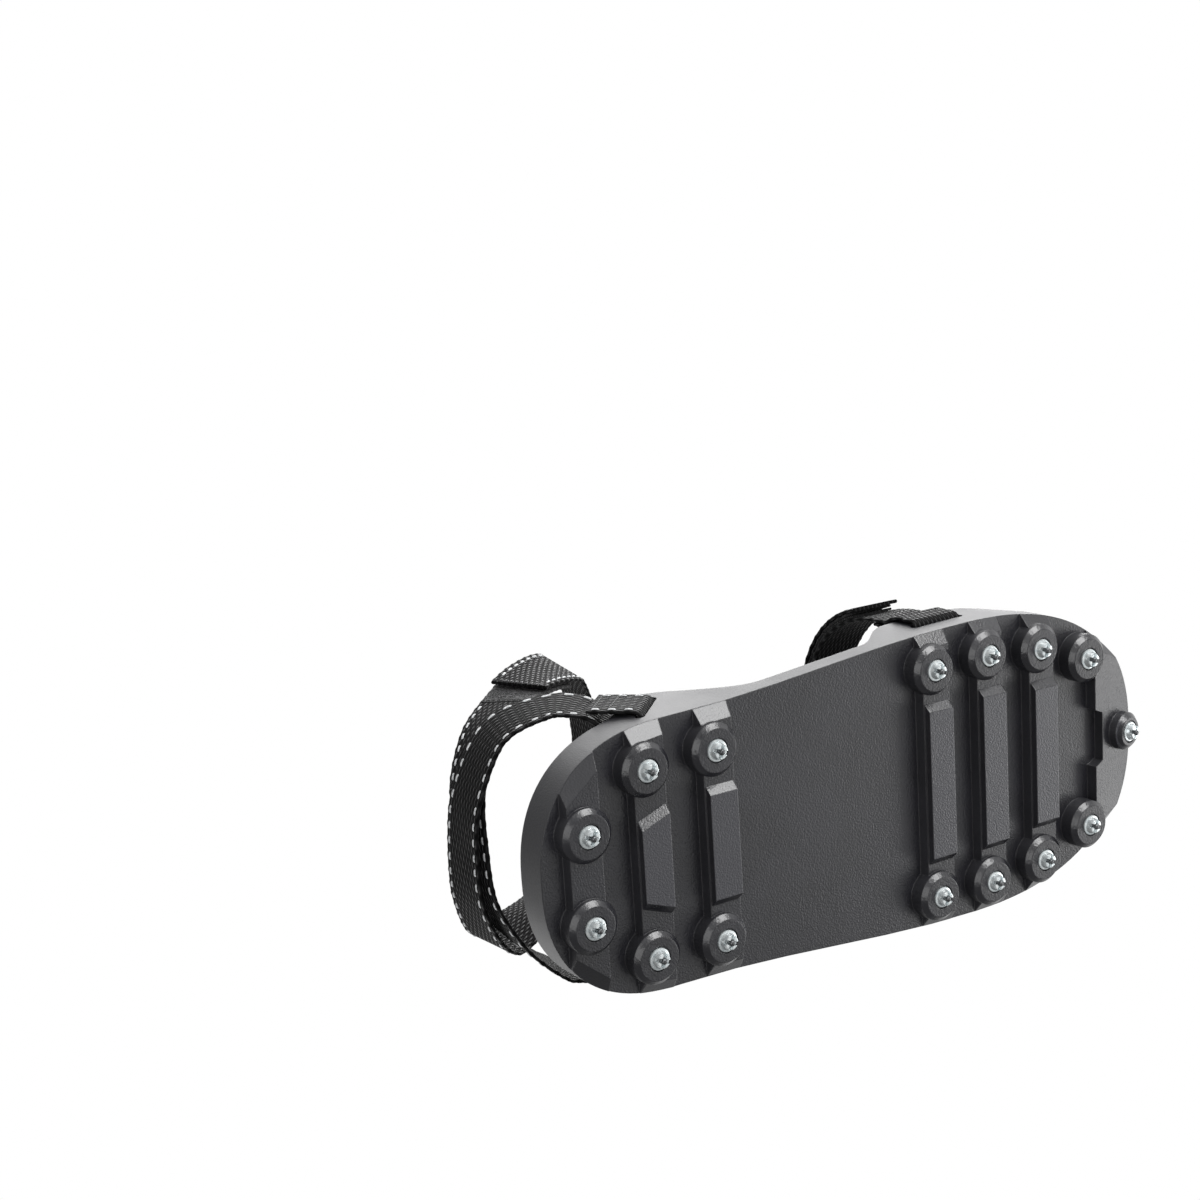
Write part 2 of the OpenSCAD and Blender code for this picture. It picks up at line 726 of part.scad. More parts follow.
module heel_stud(i) {
    color(zinc)
        at_place(heel_places[i - 1])
            stud();
}

module forefoot_stud(i) {
    color(zinc)
        at_place(forefoot_places[i - 1])
            stud();
}

module toe_stud() {
    color(zinc)
        at_toe()
            stud();
}

module heel_stud_pins() {
    color(carbide)
        for (place = heel_places)
            at_place(place)
                stud_pin();
}

module forefoot_stud_pins() {
    color(carbide)
        for (place = forefoot_places)
            at_place(place)
                stud_pin();
}

module toe_stud_pin() {
    color(carbide)
        at_toe()
            translate([0, 0, toe_pin_lift])
                stud_pin();
}

// Angles at which a strap takes up its curve from a loop, and leaves it for the crest
curve_start = 3;
curve_top = 88;

// Side view of the toe strap: station against height, turned so that the toe is at -Y
module toe_strap_shape(points) {
    polygon([for (p = points) [y_at(p[0]), p[1]]]);
}

fold_room = 3;
patch_lead = 8;
patch_end_room = 3;
toe_fold_station = forefoot_ear_station - web_width / 2 - fold_room;
toe_peel_station = forefoot_ear_station + web_width / 2 + toe_peel_lead;
toe_tail_angle = toe_angle_up(toe_tail_end);
toe_peel_angle = toe_angle_at(toe_peel_station);
toe_tail_start = toe_angle_at(toe_peel_station + peel_gap);
toe_patch_start = toe_angle_at(toe_peel_station + patch_lead);
toe_patch_stop = toe_angle_up(toe_tail_end + patch_end_room);

// A layer of the toe strap on the boot's curve, between two distances out from it
module toe_layer(from, to, near, far, width) {
    run = toe_run(from, to, 30);
    across(width / 2)
        toe_strap_shape(strip(run, even(run, near), even(run, far)));
}

module toe_strap() {
    slot_top = sole_height + toe_slot_rise + slot_height / 2;
    rim_top = sole_height + rim_toe;
    half = web_thickness / 2;
    over = stack + half;
    loop = loop_path(toe_in, toe_out, slot_top, rim_top,
        [toe_join - web_thickness - 3 * leg_gap, toe_strap_foot + leg_rise], [toe_join, toe_strap_foot]);
    climb = toe_run(curve_start, curve_top, 48);
    lifted = [for (i = [0:len(climb) - 1]) climb[i] - half * path_normal(climb, i)];
    crest_z = instep_height + half;
    fold_r = (over - half) / 2;
    fold = [for (a = [-90:-18:-270])
        [toe_fold_station + fold_r * cos(a), crest_z + fold_r + fold_r * sin(a)]];
    top = [for (i = [1:4])
        [toe_fold_station + (forefoot_ear_station - toe_fold_station) * i / 4, crest_z + 2 * fold_r]];
    away = toe_run(curve_top, toe_peel_angle, 8);
    outer = [for (i = [0:8]) away[i] + over * path_normal(away, i)];
    path = concat(loop, lifted, fold, top, outer);
    color(webbing)
        across(web_width / 2)
            toe_strap_shape(strip(path, even(path, -half), even(path, half)));
}

module toe_strap_tail() {
    color(webbing)
        toe_layer(toe_tail_start, toe_tail_angle, stack, stack + web_thickness, web_width);
}

module toe_hook_patch() {
    color(pile)
        toe_layer(toe_patch_start, toe_patch_stop, stack - patch_thickness, stack - sewn_gap,
            web_width - patch_margin);
}

module toe_loop_patch() {
    color(pile)
        toe_layer(toe_patch_start, toe_patch_stop, web_thickness + sewn_gap,
            web_thickness + patch_thickness, web_width - patch_margin);
}

// How far outwards of the peel line the outer side's strap ends, the patches begin and the tail is down
lateral_setback = 9;
patch_setback = 14;
tail_drop_run = 12;

// A strap in the plane of the forefoot arch, from its middle line
module forefoot_strap_shape(path) {
    half = web_thickness / 2;
    color(webbing)
        along(forefoot_ear_station, web_width)
            polygon(strip(path, even(path, -half), even(path, half)));
}

// A layer on the outer side of the forefoot arch, between two distances out from the boot
module forefoot_layer(from, to, near, far, width) {
    run = arch(from, to, 24);
    along(forefoot_ear_station, width)
        polygon(strip(run, even(run, near), even(run, far)));
}

forefoot_loop = loop_path(forefoot_in, forefoot_out,
    sole_height + forefoot_slot_rise + slot_height / 2, sole_height + rim_forefoot_ear,
    [arch_half - web_thickness / 2 - leg_gap, forefoot_strap_foot + leg_rise],
    [arch_half + web_thickness / 2, forefoot_strap_foot]);

function arch_lifted(angle, lift) =
    let (t = unit(arch_point(angle + 0.5) - arch_point(angle - 0.5)))
    arch_point(angle) + lift * [-t[1], t[0]];

module forefoot_strap_lateral() {
    top = arch_angle_at(-forefoot_peel - lateral_setback);
    path = concat(
        [for (p = forefoot_loop) [-p[0], p[1]]],
        [for (i = [0:24]) arch_lifted(curve_start + (top - curve_start) * i / 24, web_thickness / 2)]
    );
    forefoot_strap_shape(path);
}

// The inner side's strap climbs over the toe strap before the crest
ramp_start = arch_half * 3 / 4;
ramp_room = 1.5;
function medial_lift(x) = crest_lift * smooth((ramp_start - x) / (ramp_start - web_width / 2 - ramp_room));
module forefoot_strap_medial() {
    start = 180 - curve_start;
    stop = arch_angle_at(-forefoot_peel);
    path = concat(
        forefoot_loop,
        [for (i = [0:40]) let (a = start + (stop - start) * i / 40)
            arch_lifted(a, medial_lift(arch_point(a)[0]) + web_thickness / 2)]
    );
    forefoot_strap_shape(path);
}

// The loose end comes down from the crest onto its patches
function tail_drop(x) = crest_lift + (stack - crest_lift) * smooth((-x - forefoot_peel) / tail_drop_run);
module forefoot_strap_tail() {
    start = arch_angle_at(-forefoot_peel - peel_gap);
    stop = arch_angle_up(forefoot_tail_end);
    path = [for (i = [0:30]) let (a = start + (stop - start) * i / 30)
        arch_lifted(a, tail_drop(arch_point(a)[0]) + web_thickness / 2)];
    forefoot_strap_shape(path);
}

forefoot_patch_start = arch_angle_at(-forefoot_peel - patch_setback);
forefoot_patch_stop = arch_angle_up(forefoot_tail_end + patch_end_room);
module forefoot_hook_patch() {
    color(pile)
        forefoot_layer(forefoot_patch_stop, forefoot_patch_start, stack - patch_thickness,
            stack - sewn_gap, web_width - patch_margin);
}

module forefoot_loop_patch() {
    color(pile)
        forefoot_layer(forefoot_patch_stop, forefoot_patch_start, web_thickness + sewn_gap,
            web_thickness + patch_thickness, web_width - patch_margin);
}

// The loop round the bar of a heel slot, drawn in the plane across the foot and along the strap
module heel_loop(side) {
    tab = heel_swing_reach + heel_tab_length;
    path = loop_path(heel_in, heel_out, slot_height / 2, heel_bar_reach,
        [heel_out - web_thickness - leg_gap, tab], [heel_out, tab]);
    half = web_thickness / 2;
    shape = strip(path, even(path, -half), even(path, half));
    color(webbing)
        translate([0, y_at(heel_slot_station), sole_height + heel_slot_rise])
            rotate([heel_strap_angle, 0, 0])
                linear_extrude(web_width, center = true)
                    polygon([for (p = shape) [side * p[0], p[1]]]);
}

module heel_loop_lateral() {
    heel_loop(lateral);
}

module heel_loop_medial() {
    heel_loop(medial);
}

// Sections of the round end of a heel strap, behind the first point of its route
function round_end(route, near, far) =
    let (way = spline_way(route, 0), out = ankle_out(route[0], way), side = cross(way, out))
    [for (a = [80:-20:20])
        let (q = route[0] - web_width / 2 * sin(a) * way, s = side * web_width / 2 * cos(a))
        [q + near * out - s, q + near * out + s, q + far * out + s, q + far * out - s]];

// A solid through four-cornered sections, in order
module skin(rings) {
    points = [for (r = rings) each r];
    sides = [for (i = [0:len(rings) - 2], k = [0:3])
        let (a = 4 * i + k, b = 4 * i + (k + 1) % 4)
        each k == 2 ? [[a, b, a + 4], [b, b + 4, a + 4]] : [[a, b, b + 4], [a, b + 4, a + 4]]];
    last = 4 * (len(rings) - 1);
    caps = [[2, 1, 0], [3, 2, 0], [last, last + 1, last + 2], [last, last + 2, last + 3]];
    polyhedron(points, concat(sides, caps));
}

function ankle_rings(route, from, to, near, far, width) =
    [for (t = concat([for (t = [from:ring_step:to - eps]) t], [to]))
        strap_ring(route, t, near, far, width)];

// Sections of a heel strap from its round end to a point of its route
function heel_rings(route, to) =
    let (half = web_thickness / 2)
    concat(round_end(route, -half, half), ankle_rings(route, 0, to, -half, half, web_width));

// The outer strap ends square to the inner one's route, with its sections turned to run the same way
module heel_strap_lateral() {
    half = web_thickness / 2;
    approach = 2 * ring_step;
    color(webbing)
        skin(concat(
            heel_rings(outer_route, len(outer_route) - 2 - approach),
            [for (t = [join:-ring_step:peel])
                let (r = strap_ring(inner_route, t, tail_lift - half, tail_lift + half, web_width))
                [r[1], r[0], r[3], r[2]]]
        ));
}

module heel_strap_medial() {
    color(webbing)
        skin(heel_rings(inner_route, inner_end));
}

module ankle_strap_tail() {
    half = web_thickness / 2;
    color(webbing)
        skin(ankle_rings(inner_route, tail_end, peel - peel_slit, tail_lift - half, tail_lift + half,
            web_width));
}

module ankle_hook_patch() {
    top = tail_lift - web_thickness / 2;
    color(pile)
        skin(ankle_rings(inner_route, tail_end + patch_inset, patch_end, top - patch_thickness,
            top - sewn_gap, web_width - patch_margin));
}

module ankle_loop_patch() {
    half = web_thickness / 2;
    color(pile)
        skin(ankle_rings(inner_route, inner_end + eps, patch_end, -half, half, web_width - patch_margin));
}

tray();
for (i = [1:6])
    heel_stud(i);
for (i = [1:8])
    forefoot_stud(i);
toe_stud();
heel_stud_pins();
forefoot_stud_pins();
toe_stud_pin();
toe_strap();
toe_strap_tail();
toe_hook_patch();
toe_loop_patch();
forefoot_strap_lateral();
forefoot_strap_medial();
forefoot_strap_tail();
forefoot_hook_patch();
forefoot_loop_patch();
heel_loop_lateral();
heel_loop_medial();
heel_strap_lateral();
heel_strap_medial();
ankle_strap_tail();
ankle_hook_patch();
ankle_loop_patch();
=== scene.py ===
import math

import bmesh
import bpy
import numpy as np
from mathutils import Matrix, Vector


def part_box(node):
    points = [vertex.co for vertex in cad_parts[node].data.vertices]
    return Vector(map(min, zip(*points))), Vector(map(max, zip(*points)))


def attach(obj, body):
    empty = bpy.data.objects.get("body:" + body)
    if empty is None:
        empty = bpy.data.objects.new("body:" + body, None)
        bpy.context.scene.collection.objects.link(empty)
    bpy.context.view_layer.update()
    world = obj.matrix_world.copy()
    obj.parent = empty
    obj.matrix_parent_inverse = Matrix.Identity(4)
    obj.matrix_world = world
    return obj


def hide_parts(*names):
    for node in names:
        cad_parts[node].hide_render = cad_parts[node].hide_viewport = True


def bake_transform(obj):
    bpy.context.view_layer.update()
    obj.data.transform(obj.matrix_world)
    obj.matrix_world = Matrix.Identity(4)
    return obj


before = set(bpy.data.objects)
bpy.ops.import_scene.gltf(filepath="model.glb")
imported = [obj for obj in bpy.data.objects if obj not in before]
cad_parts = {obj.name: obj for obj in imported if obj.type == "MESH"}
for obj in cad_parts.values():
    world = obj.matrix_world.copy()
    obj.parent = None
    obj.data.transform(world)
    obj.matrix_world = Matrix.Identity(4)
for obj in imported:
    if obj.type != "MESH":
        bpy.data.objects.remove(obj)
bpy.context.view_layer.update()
scene = bpy.context.scene
mm = 0.001  # shapes are worked out in millimetres, looks and the stage in metres
print("frame loaded:", len(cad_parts), "nodes")


# Small helpers for arrays and meshes

def unit(v):
    # each row divided by its own length
    return v / np.maximum(np.linalg.norm(v, axis=-1, keepdims=True), 1e-12)


def smooth(t):
    # 0 before 0, 1 after 1, and 3t^2 - 2t^3 in between
    c = np.clip(t, 0, 1)
    return c * c * (3 - 2 * c)


def bulge(t, power):
    # 1 in the middle and 0 at -1 and 1, round for a power of 2 and blunter for a higher one
    return np.sqrt(np.clip(1 - t ** power, 0, 1))


def readRows(at, known, rows):
    # rows of three numbers, given at known places, read at places in between
    return np.stack([np.interp(at, known, rows[:, k]) for k in range(3)], axis=-1)


def gridFaces(rows, cols, closed):
    # quads of a rows x cols grid of points; closed joins the last column to the first
    i = np.arange(rows - 1)[:, None]
    j = np.arange(cols if closed else cols - 1)[None, :]
    k = (j + 1) % cols
    quads = np.stack([i * cols + j, i * cols + k, (i + 1) * cols + k, (i + 1) * cols + j], axis=-1)
    return quads.reshape(-1, 4)


def placed(name, data):
    # a new object at the origin, linked into the scene
    thing = bpy.data.objects.new(name, data)
    scene.collection.objects.link(thing)
    return thing


def makePiece(name, points, faces, material, uv=None, sharpDeg=40, recalc=True):
    # points in millimetres become a mesh object, with uv in millimetres along and across
    mesh = bpy.data.meshes.new(name)
    mesh.from_pydata((points * mm).tolist(), [], [list(f) for f in faces])
    if uv is not None:
        loops = np.empty(len(mesh.loops), dtype=np.int32)
        mesh.loops.foreach_get("vertex_index", loops)
        layer = mesh.uv_layers.new(name="UVMap")
        layer.data.foreach_set("uv", (uv[loops] * mm).astype(np.float32).ravel())
    if recalc:
        bm = bmesh.new()
        bm.from_mesh(mesh)
        bmesh.ops.recalc_face_normals(bm, faces=bm.faces)
        bm.to_mesh(mesh)
        bm.free()
    mesh.polygons.foreach_set("use_smooth", np.ones(len(mesh.polygons), dtype=bool))
    mesh.set_sharp_from_angle(angle=math.radians(sharpDeg))
    mesh.materials.append(material)
    mesh.update()
    return placed(name, mesh)


def smallGrids(name, grids, material):
    # many small open grids in one mesh, from an array of grid, row, column and place
    count, rows, cols = grids.shape[:3]
    faces = gridFaces(rows, cols, False)[None] + rows * cols * np.arange(count)[:, None, None]
    return makePiece(name, grids.reshape(-1, 3), faces.reshape(-1, 4), material, sharpDeg=180, recalc=False)


def ridesOn(body, slot, pieces, *nodes):
    # the pieces move with a body, and the nodes are hidden
    for piece in pieces:
        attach(piece, body)
    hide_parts(*nodes)


def foldsFrom(before, after, middle, way, pieces, *nodes):
    # webbing from one body to the next: its pieces are fixed where they stand and the nodes are hidden;
    # before, after, middle and way are not used
    for piece in pieces:
        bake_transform(piece)
    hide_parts(*nodes)


# Materials, from nodes that are each fed numbers, colours or other nodes' outputs

nodeStep = 200  # distance between nodes in the editor


def feed(tree, socket, value):
    # a link where the value is another node's output, and otherwise the socket's own number or colour
    if isinstance(value, bpy.types.NodeSocket):
        tree.links.new(value, socket)
    else:
        socket.default_value = value


def nodeIn(tree, kind, feeds=None, **settings):
    # one node to the right of those before it: its settings first, then its inputs by name or number
    node = tree.nodes.new(kind)
    node.location.x = nodeStep * len(tree.nodes)
    for key, value in settings.items():
        setattr(node, key, value)
    for key, value in (feeds or {}).items():
        feed(tree, node.inputs[key], value)
    return node


def mathIn(tree, operation, *values):
    # one Math node on one or two numbers or outputs
    return nodeIn(tree, "ShaderNodeMath", dict(enumerate(values)), operation=operation).outputs[0]


def vectorIn(tree, operation, *values):
    # one Vector Math node that puts out a number
    node = nodeIn(tree, "ShaderNodeVectorMath", dict(enumerate(values)), operation=operation)
    return node.outputs["Value"]


def groupIn(tree, group, **feeds):
    # the outputs of a group placed in a material, with its inputs by name
    return nodeIn(tree, "ShaderNodeGroup", feeds, node_tree=group).outputs


def ramp(tree, source, low, high, lowAt, highAt):
    # a colour from low to high as source goes from lowAt to highAt
    node = nodeIn(tree, "ShaderNodeValToRGB", {"Fac": source})
    for element, color, at in zip(node.color_ramp.elements, (low, high), (lowAt, highAt)):
        element.position = at
        element.color = (*color, 1)
    return node.outputs["Color"]


def span(tree, source, low, high, lowAt=0.0, highAt=1.0, **settings):
    # a number from low to high as source goes from lowAt to highAt
    feeds = {"Value": source, "From Min": lowAt, "From Max": highAt, "To Min": low, "To Max": high}
    return nodeIn(tree, "ShaderNodeMapRange", feeds, **settings).outputs["Result"]


def mixed(tree, factor, under, over):
    # the colour over laid on the output under by a factor
    feeds = {"Factor": factor, "A": under, "B": (*over, 1)}
    return nodeIn(tree, "ShaderNodeMix", feeds, data_type="RGBA").outputs["Result"]


def newGroup(name, numbers, outputs):
    # a shader group that takes a Vector and numbers, with their usual values, and puts out numbers
    group = bpy.data.node_groups.new(name, "ShaderNodeTree")
    group.interface.new_socket(name="Vector", in_out="INPUT", socket_type="NodeSocketVector")
    for label, value in numbers.items():
        socket = group.interface.new_socket(name=label, in_out="INPUT", socket_type="NodeSocketFloat")
        socket.default_value = value
    for label in outputs:
        group.interface.new_socket(name=label, in_out="OUTPUT", socket_type="NodeSocketFloat")
    return group, nodeIn(group, "NodeGroupInput").outputs, nodeIn(group, "NodeGroupOutput").inputs


weaveLook = {"pitch": 0.0033, "yarnWidth": 0.00115, "uneven": 0.2, "roundness": 3.6, "fuzzScale": 1400,
             "fuzzDetail": 2}


def weaveGroup():
    # plain weave on the strap's own uv: each lengthwise yarn shows as a long hump on every other rib, and the
    # yarn beside it on the ribs between; height is the yarn's round section times half a cosine along it
    look = weaveLook
    group, given, made = newGroup(
        "webbingWeave", {"Pitch": look["pitch"], "Yarn": look["yarnWidth"], "Uneven": look["uneven"]},
        ("Height", "Shade"))
    split = nodeIn(group, "ShaderNodeSeparateXYZ", {0: given["Vector"]}).outputs
    row = mathIn(group, "DIVIDE", split["Y"], given["Yarn"])
    along = mathIn(group, "DIVIDE", split["X"], given["Pitch"])
    moved = mathIn(group, "ADD", along, mathIn(group, "FLOOR", row))
    wave = mathIn(group, "COSINE", mathIn(group, "MULTIPLY", moved, math.pi))
    above = mathIn(group, "ADD", mathIn(group, "MULTIPLY", wave, 0.5), 0.5)
    off = mathIn(group, "SUBTRACT", mathIn(group, "FRACT", row), 0.5)
    section = mathIn(group, "SUBTRACT", 1.0, mathIn(
        group, "MULTIPLY", look["roundness"], mathIn(group, "MULTIPLY", off, off)))
    hump = mathIn(group, "MULTIPLY", above, section)
    noise = nodeIn(group, "ShaderNodeTexNoise", {
        "Vector": given["Vector"], "Scale": look["fuzzScale"], "Detail": look["fuzzDetail"]}).outputs["Fac"]
    feed(group, made["Height"], mathIn(group, "ADD", hump, mathIn(group, "MULTIPLY", noise, given["Uneven"])))
    feed(group, made["Shade"], hump)
    return group


grainLook = {"size": 0.0009, "patchScale": 45, "patchDetail": 4}


def grainGroup():
    # fine pebbles: 1 less the distance to the nearest cell's middle; and beside them a soft larger unevenness
    look = grainLook
    group, given, made = newGroup("rubberGrain", {"Size": look["size"]}, ("Height", "Patch"))
    cells = nodeIn(group, "ShaderNodeTexVoronoi", {
        "Vector": given["Vector"], "Scale": mathIn(group, "DIVIDE", 1.0, given["Size"])}, feature="SMOOTH_F1")
    broad = nodeIn(group, "ShaderNodeTexNoise", {
        "Vector": given["Vector"], "Scale": look["patchScale"], "Detail": look["patchDetail"]})
    feed(group, made["Height"], mathIn(group, "SUBTRACT", 1.0, cells.outputs["Distance"]))
    feed(group, made["Patch"], broad.outputs["Fac"])
    return group


weave = weaveGroup()
grain = grainGroup()


def newMaterial(name, constants, pattern="Object"):
    # a material whose shader takes the constants, with the coordinates that its pattern follows
    material = bpy.data.materials.new(name)
    material.use_nodes = True
    tree = material.node_tree
    shader = tree.nodes["Principled BSDF"]
    for socket, value in constants.items():
        shader.inputs[socket].default_value = value
    return material, tree, shader, nodeIn(tree, "ShaderNodeTexCoord").outputs[pattern]


def surface(tree, shader, color, roughness=None, height=None, depth=0.0, normal=None):
    # feeds the shader a colour, a roughness and a relief of some depth on the normal
    feed(tree, shader.inputs["Base Color"], color)
    if roughness is not None:
        feed(tree, shader.inputs["Roughness"], roughness)
    if height is not None:
        bump = nodeIn(tree, "ShaderNodeBump", {"Distance": depth, "Height": height})
        if normal is not None:
            feed(tree, bump.inputs["Normal"], normal)
        feed(tree, shader.inputs["Normal"], bump.outputs["Normal"])


rubberLook = {
    "dark": (0.0085, 0.0085, 0.0112), "light": (0.0150, 0.0150, 0.0196), "darkAt": 0.3, "lightAt": 0.7,
    "padHighlightTone": (0.037, 0.037, 0.0445), "padFrom": 0.0041, "padTo": 0.0062, "padFacing": -0.74,
    "wearAndEdgeHighlight": (0.022, 0.022, 0.0255), "edgeRadius": 0.0006, "edgeSamples": 6, "edgeFrom": 0.99, "edgeTo": 0.86,
    "pebble": 0.0007, "bumpDepth": 0.00014, "specular": 0.85, "roughLow": 0.30, "roughHigh": 0.42,
    "wallBelow": 0.35, "wallRough": 0.18, "slopeBelow": 0.9, "slopeRough": -0.08, "slopeBump": 0.4,
}


def rubberMaterial():
    # moulded rubber: pebble grain, and edges rounded in shading and painted a little paler, partly as rubbed
    # wear and partly as a painted highlight; faces that look down at the height of the raised pads are
    # painted paler too, a painted highlight; walls are duller, slopes glossier and lower in grain
    look = rubberLook
    material, tree, shader, place = newMaterial("rubber", {"Specular IOR Level": look["specular"]})
    pebbles = groupIn(tree, grain, Vector=place, Size=look["pebble"])
    height = nodeIn(tree, "ShaderNodeSeparateXYZ", {0: place}).outputs["Z"]
    plain = nodeIn(tree, "ShaderNodeNewGeometry").outputs["Normal"]
    aspect = nodeIn(tree, "ShaderNodeSeparateXYZ", {0: plain}).outputs["Z"]
    eased = nodeIn(tree, "ShaderNodeBevel", {"Radius": look["edgeRadius"]},
                   samples=look["edgeSamples"]).outputs["Normal"]
    facing = vectorIn(tree, "DOT_PRODUCT", eased, plain)
    edge = span(tree, facing, 0, 1, look["edgeFrom"], look["edgeTo"])

    base = ramp(tree, pebbles["Patch"], look["dark"], look["light"], look["darkAt"], look["lightAt"])
    # painted highlight: faces that look down at the height of the raised pads are mixed towards a paler tone
    above = mathIn(tree, "GREATER_THAN", height, look["padFrom"])
    below = span(tree, height, 0, 1, look["padTo"], look["padFrom"], interpolation_type="SMOOTHSTEP")
    down = mathIn(tree, "LESS_THAN", aspect, look["padFacing"])
    pads = mathIn(tree, "MULTIPLY", mathIn(tree, "MULTIPLY", above, below), down)
    treads = mixed(tree, pads, base, look["padHighlightTone"])
    # edges, broken up by the patches, are mixed towards a paler tone: partly rubbed wear, partly a painted
    # highlight
    color = mixed(tree, mathIn(tree, "MULTIPLY", edge, pebbles["Patch"]), treads, look["wearAndEdgeHighlight"])

    tilt = mathIn(tree, "ABSOLUTE", aspect)
    tilted = mathIn(tree, "LESS_THAN", tilt, look["slopeBelow"])
    slope = mathIn(tree, "MULTIPLY", tilted, look["slopeRough"])
    wall = mathIn(tree, "MULTIPLY", mathIn(tree, "LESS_THAN", tilt, look["wallBelow"]),
                  look["wallRough"] - look["slopeRough"])
    gloss = span(tree, pebbles["Patch"], look["roughLow"], look["roughHigh"])
    roughness = mathIn(tree, "ADD", gloss, mathIn(tree, "ADD", wall, slope))
    share = mathIn(tree, "SUBTRACT", 1.0, mathIn(tree, "MULTIPLY", tilted, 1 - look["slopeBump"]))
    relief = mathIn(tree, "MULTIPLY", pebbles["Height"], share)
    surface(tree, shader, color, roughness, relief, look["bumpDepth"], eased)
    return material


webbingLook = {"groove": (0.0006, 0.0006, 0.0008), "yarn": (0.008, 0.008, 0.0086), "grooveAt": 0.15,
               "yarnAt": 0.85, "grooveRough": 0.95, "yarnRough": 0.38, "bumpDepth": 0.0006, "specular": 0.2}


def webbingMaterial():
    # woven yarns on the strap's own uv; painted shade darkens the gaps between them, dull there, and the yarn
    # tops are paler and glossier
    look = webbingLook
    material, tree, shader, place = newMaterial("webbing", {"Specular IOR Level": look["specular"]}, "UV")
    yarns = groupIn(tree, weave, Vector=place, Pitch=weaveLook["pitch"], Yarn=weaveLook["yarnWidth"])
    # painted shade: the colour darkens from the yarn tops into the gaps between yarns
    color = ramp(tree, yarns["Shade"], look["groove"], look["yarn"], look["grooveAt"], look["yarnAt"])
    roughness = span(tree, yarns["Shade"], look["grooveRough"], look["yarnRough"])
    surface(tree, shader, color, roughness, yarns["Height"], look["bumpDepth"])
    return material


pileLook = {
    "roughness": 0.9, "sheen": 0.12, "lowAt": 0.3, "highAt": 0.9,
    "loopPile": {"size": 0.0008, "depth": 0.0006, "low": (0.001, 0.001, 0.0012),
                 "high": (0.011, 0.011, 0.012)},
    "hookPile": {"size": 0.0013, "depth": 0.0008, "low": (0.002, 0.002, 0.0025),
                 "high": (0.016, 0.016, 0.017)},
}


def pileMaterial(name):
    # loose loops or small hooks: cells of a given size, with painted shade darkening the gaps between them
    look = pileLook
    kind = look[name]
    material, tree, shader, place = newMaterial(
        name, {"Roughness": look["roughness"], "Sheen Weight": look["sheen"]})
    height = groupIn(tree, grain, Vector=place, Size=kind["size"])["Height"]
    # painted shade: darker from the cells' middles out to the gaps between them
    color = ramp(tree, height, kind["low"], kind["high"], look["lowAt"], look["highAt"])
    surface(tree, shader, color, height=height, depth=kind["depth"])
    return material


metalLook = {
    "detail": 3, "lowAt": 0.3, "highAt": 0.7, "bumpDepth": 0.00004,
    "zincPlate": {"low": (0.62, 0.68, 0.70), "high": (0.88, 0.92, 0.92), "roughLow": 0.16, "roughHigh": 0.30,
                  "spot": 0.0016, "metallic": 0.6},
    "carbide": {"low": (0.10, 0.105, 0.11), "high": (0.2, 0.205, 0.21), "roughLow": 0.35, "roughHigh": 0.5,
                "spot": 0.0005, "metallic": 1.0},
}


def metalMaterial(name):
    # plated or sintered metal: colour and gloss drift together over small spots
    look = metalLook
    kind = look[name]
    material, tree, shader, place = newMaterial(name, {"Metallic": kind["metallic"]})
    spots = nodeIn(tree, "ShaderNodeTexNoise", {
        "Vector": place, "Scale": 1 / kind["spot"], "Detail": look["detail"]}).outputs["Fac"]
    color = ramp(tree, spots, kind["low"], kind["high"], look["lowAt"], look["highAt"])
    roughness = span(tree, spots, kind["roughLow"], kind["roughHigh"])
    surface(tree, shader, color, roughness, spots, look["bumpDepth"])
    return material


threadLook = {
    "roughness": 0.42, "twistScale": 1500, "lowAt": 0.3, "highAt": 0.65,
    "whiteThread": ((0.42, 0.43, 0.44), (0.8, 0.81, 0.82)),
    "darkThread": ((0.004, 0.004, 0.0045), (0.02, 0.02, 0.021)),
    "greyThread": ((0.02, 0.02, 0.021), (0.14, 0.14, 0.145)),
    "pileFibre": ((0.01, 0.01, 0.011), (0.12, 0.12, 0.125)),
}


def threadMaterial(name):
    # sewing thread with a fine twist along it, from a low to a high tone
    look = threadLook
    material, tree, shader, place = newMaterial(name, {"Roughness": look["roughness"]})
    twist = nodeIn(tree, "ShaderNodeTexNoise", {"Vector": place, "Scale": look["twistScale"]}).outputs["Fac"]
    surface(tree, shader, ramp(tree, twist, *look[name], look["lowAt"], look["highAt"]))
    return material


rubber = rubberMaterial()
webbing = webbingMaterial()
loopPile, hookPile = pileMaterial("loopPile"), pileMaterial("hookPile")
zinc, carbide = metalMaterial("zincPlate"), metalMaterial("carbide")
whiteThread, darkThread = threadMaterial("whiteThread"), threadMaterial("darkThread")
greyThread, fibre = threadMaterial("greyThread"), threadMaterial("pileFibre")
print("materials ready")


# The tray: a merged copy of the moulded solid, smooth on its curves

tray = {"merge": 2e-6, "sharpDeg": 13, "underBelow": -0.3, "offMiddle": 0.02, "slopeStep": 0.01}


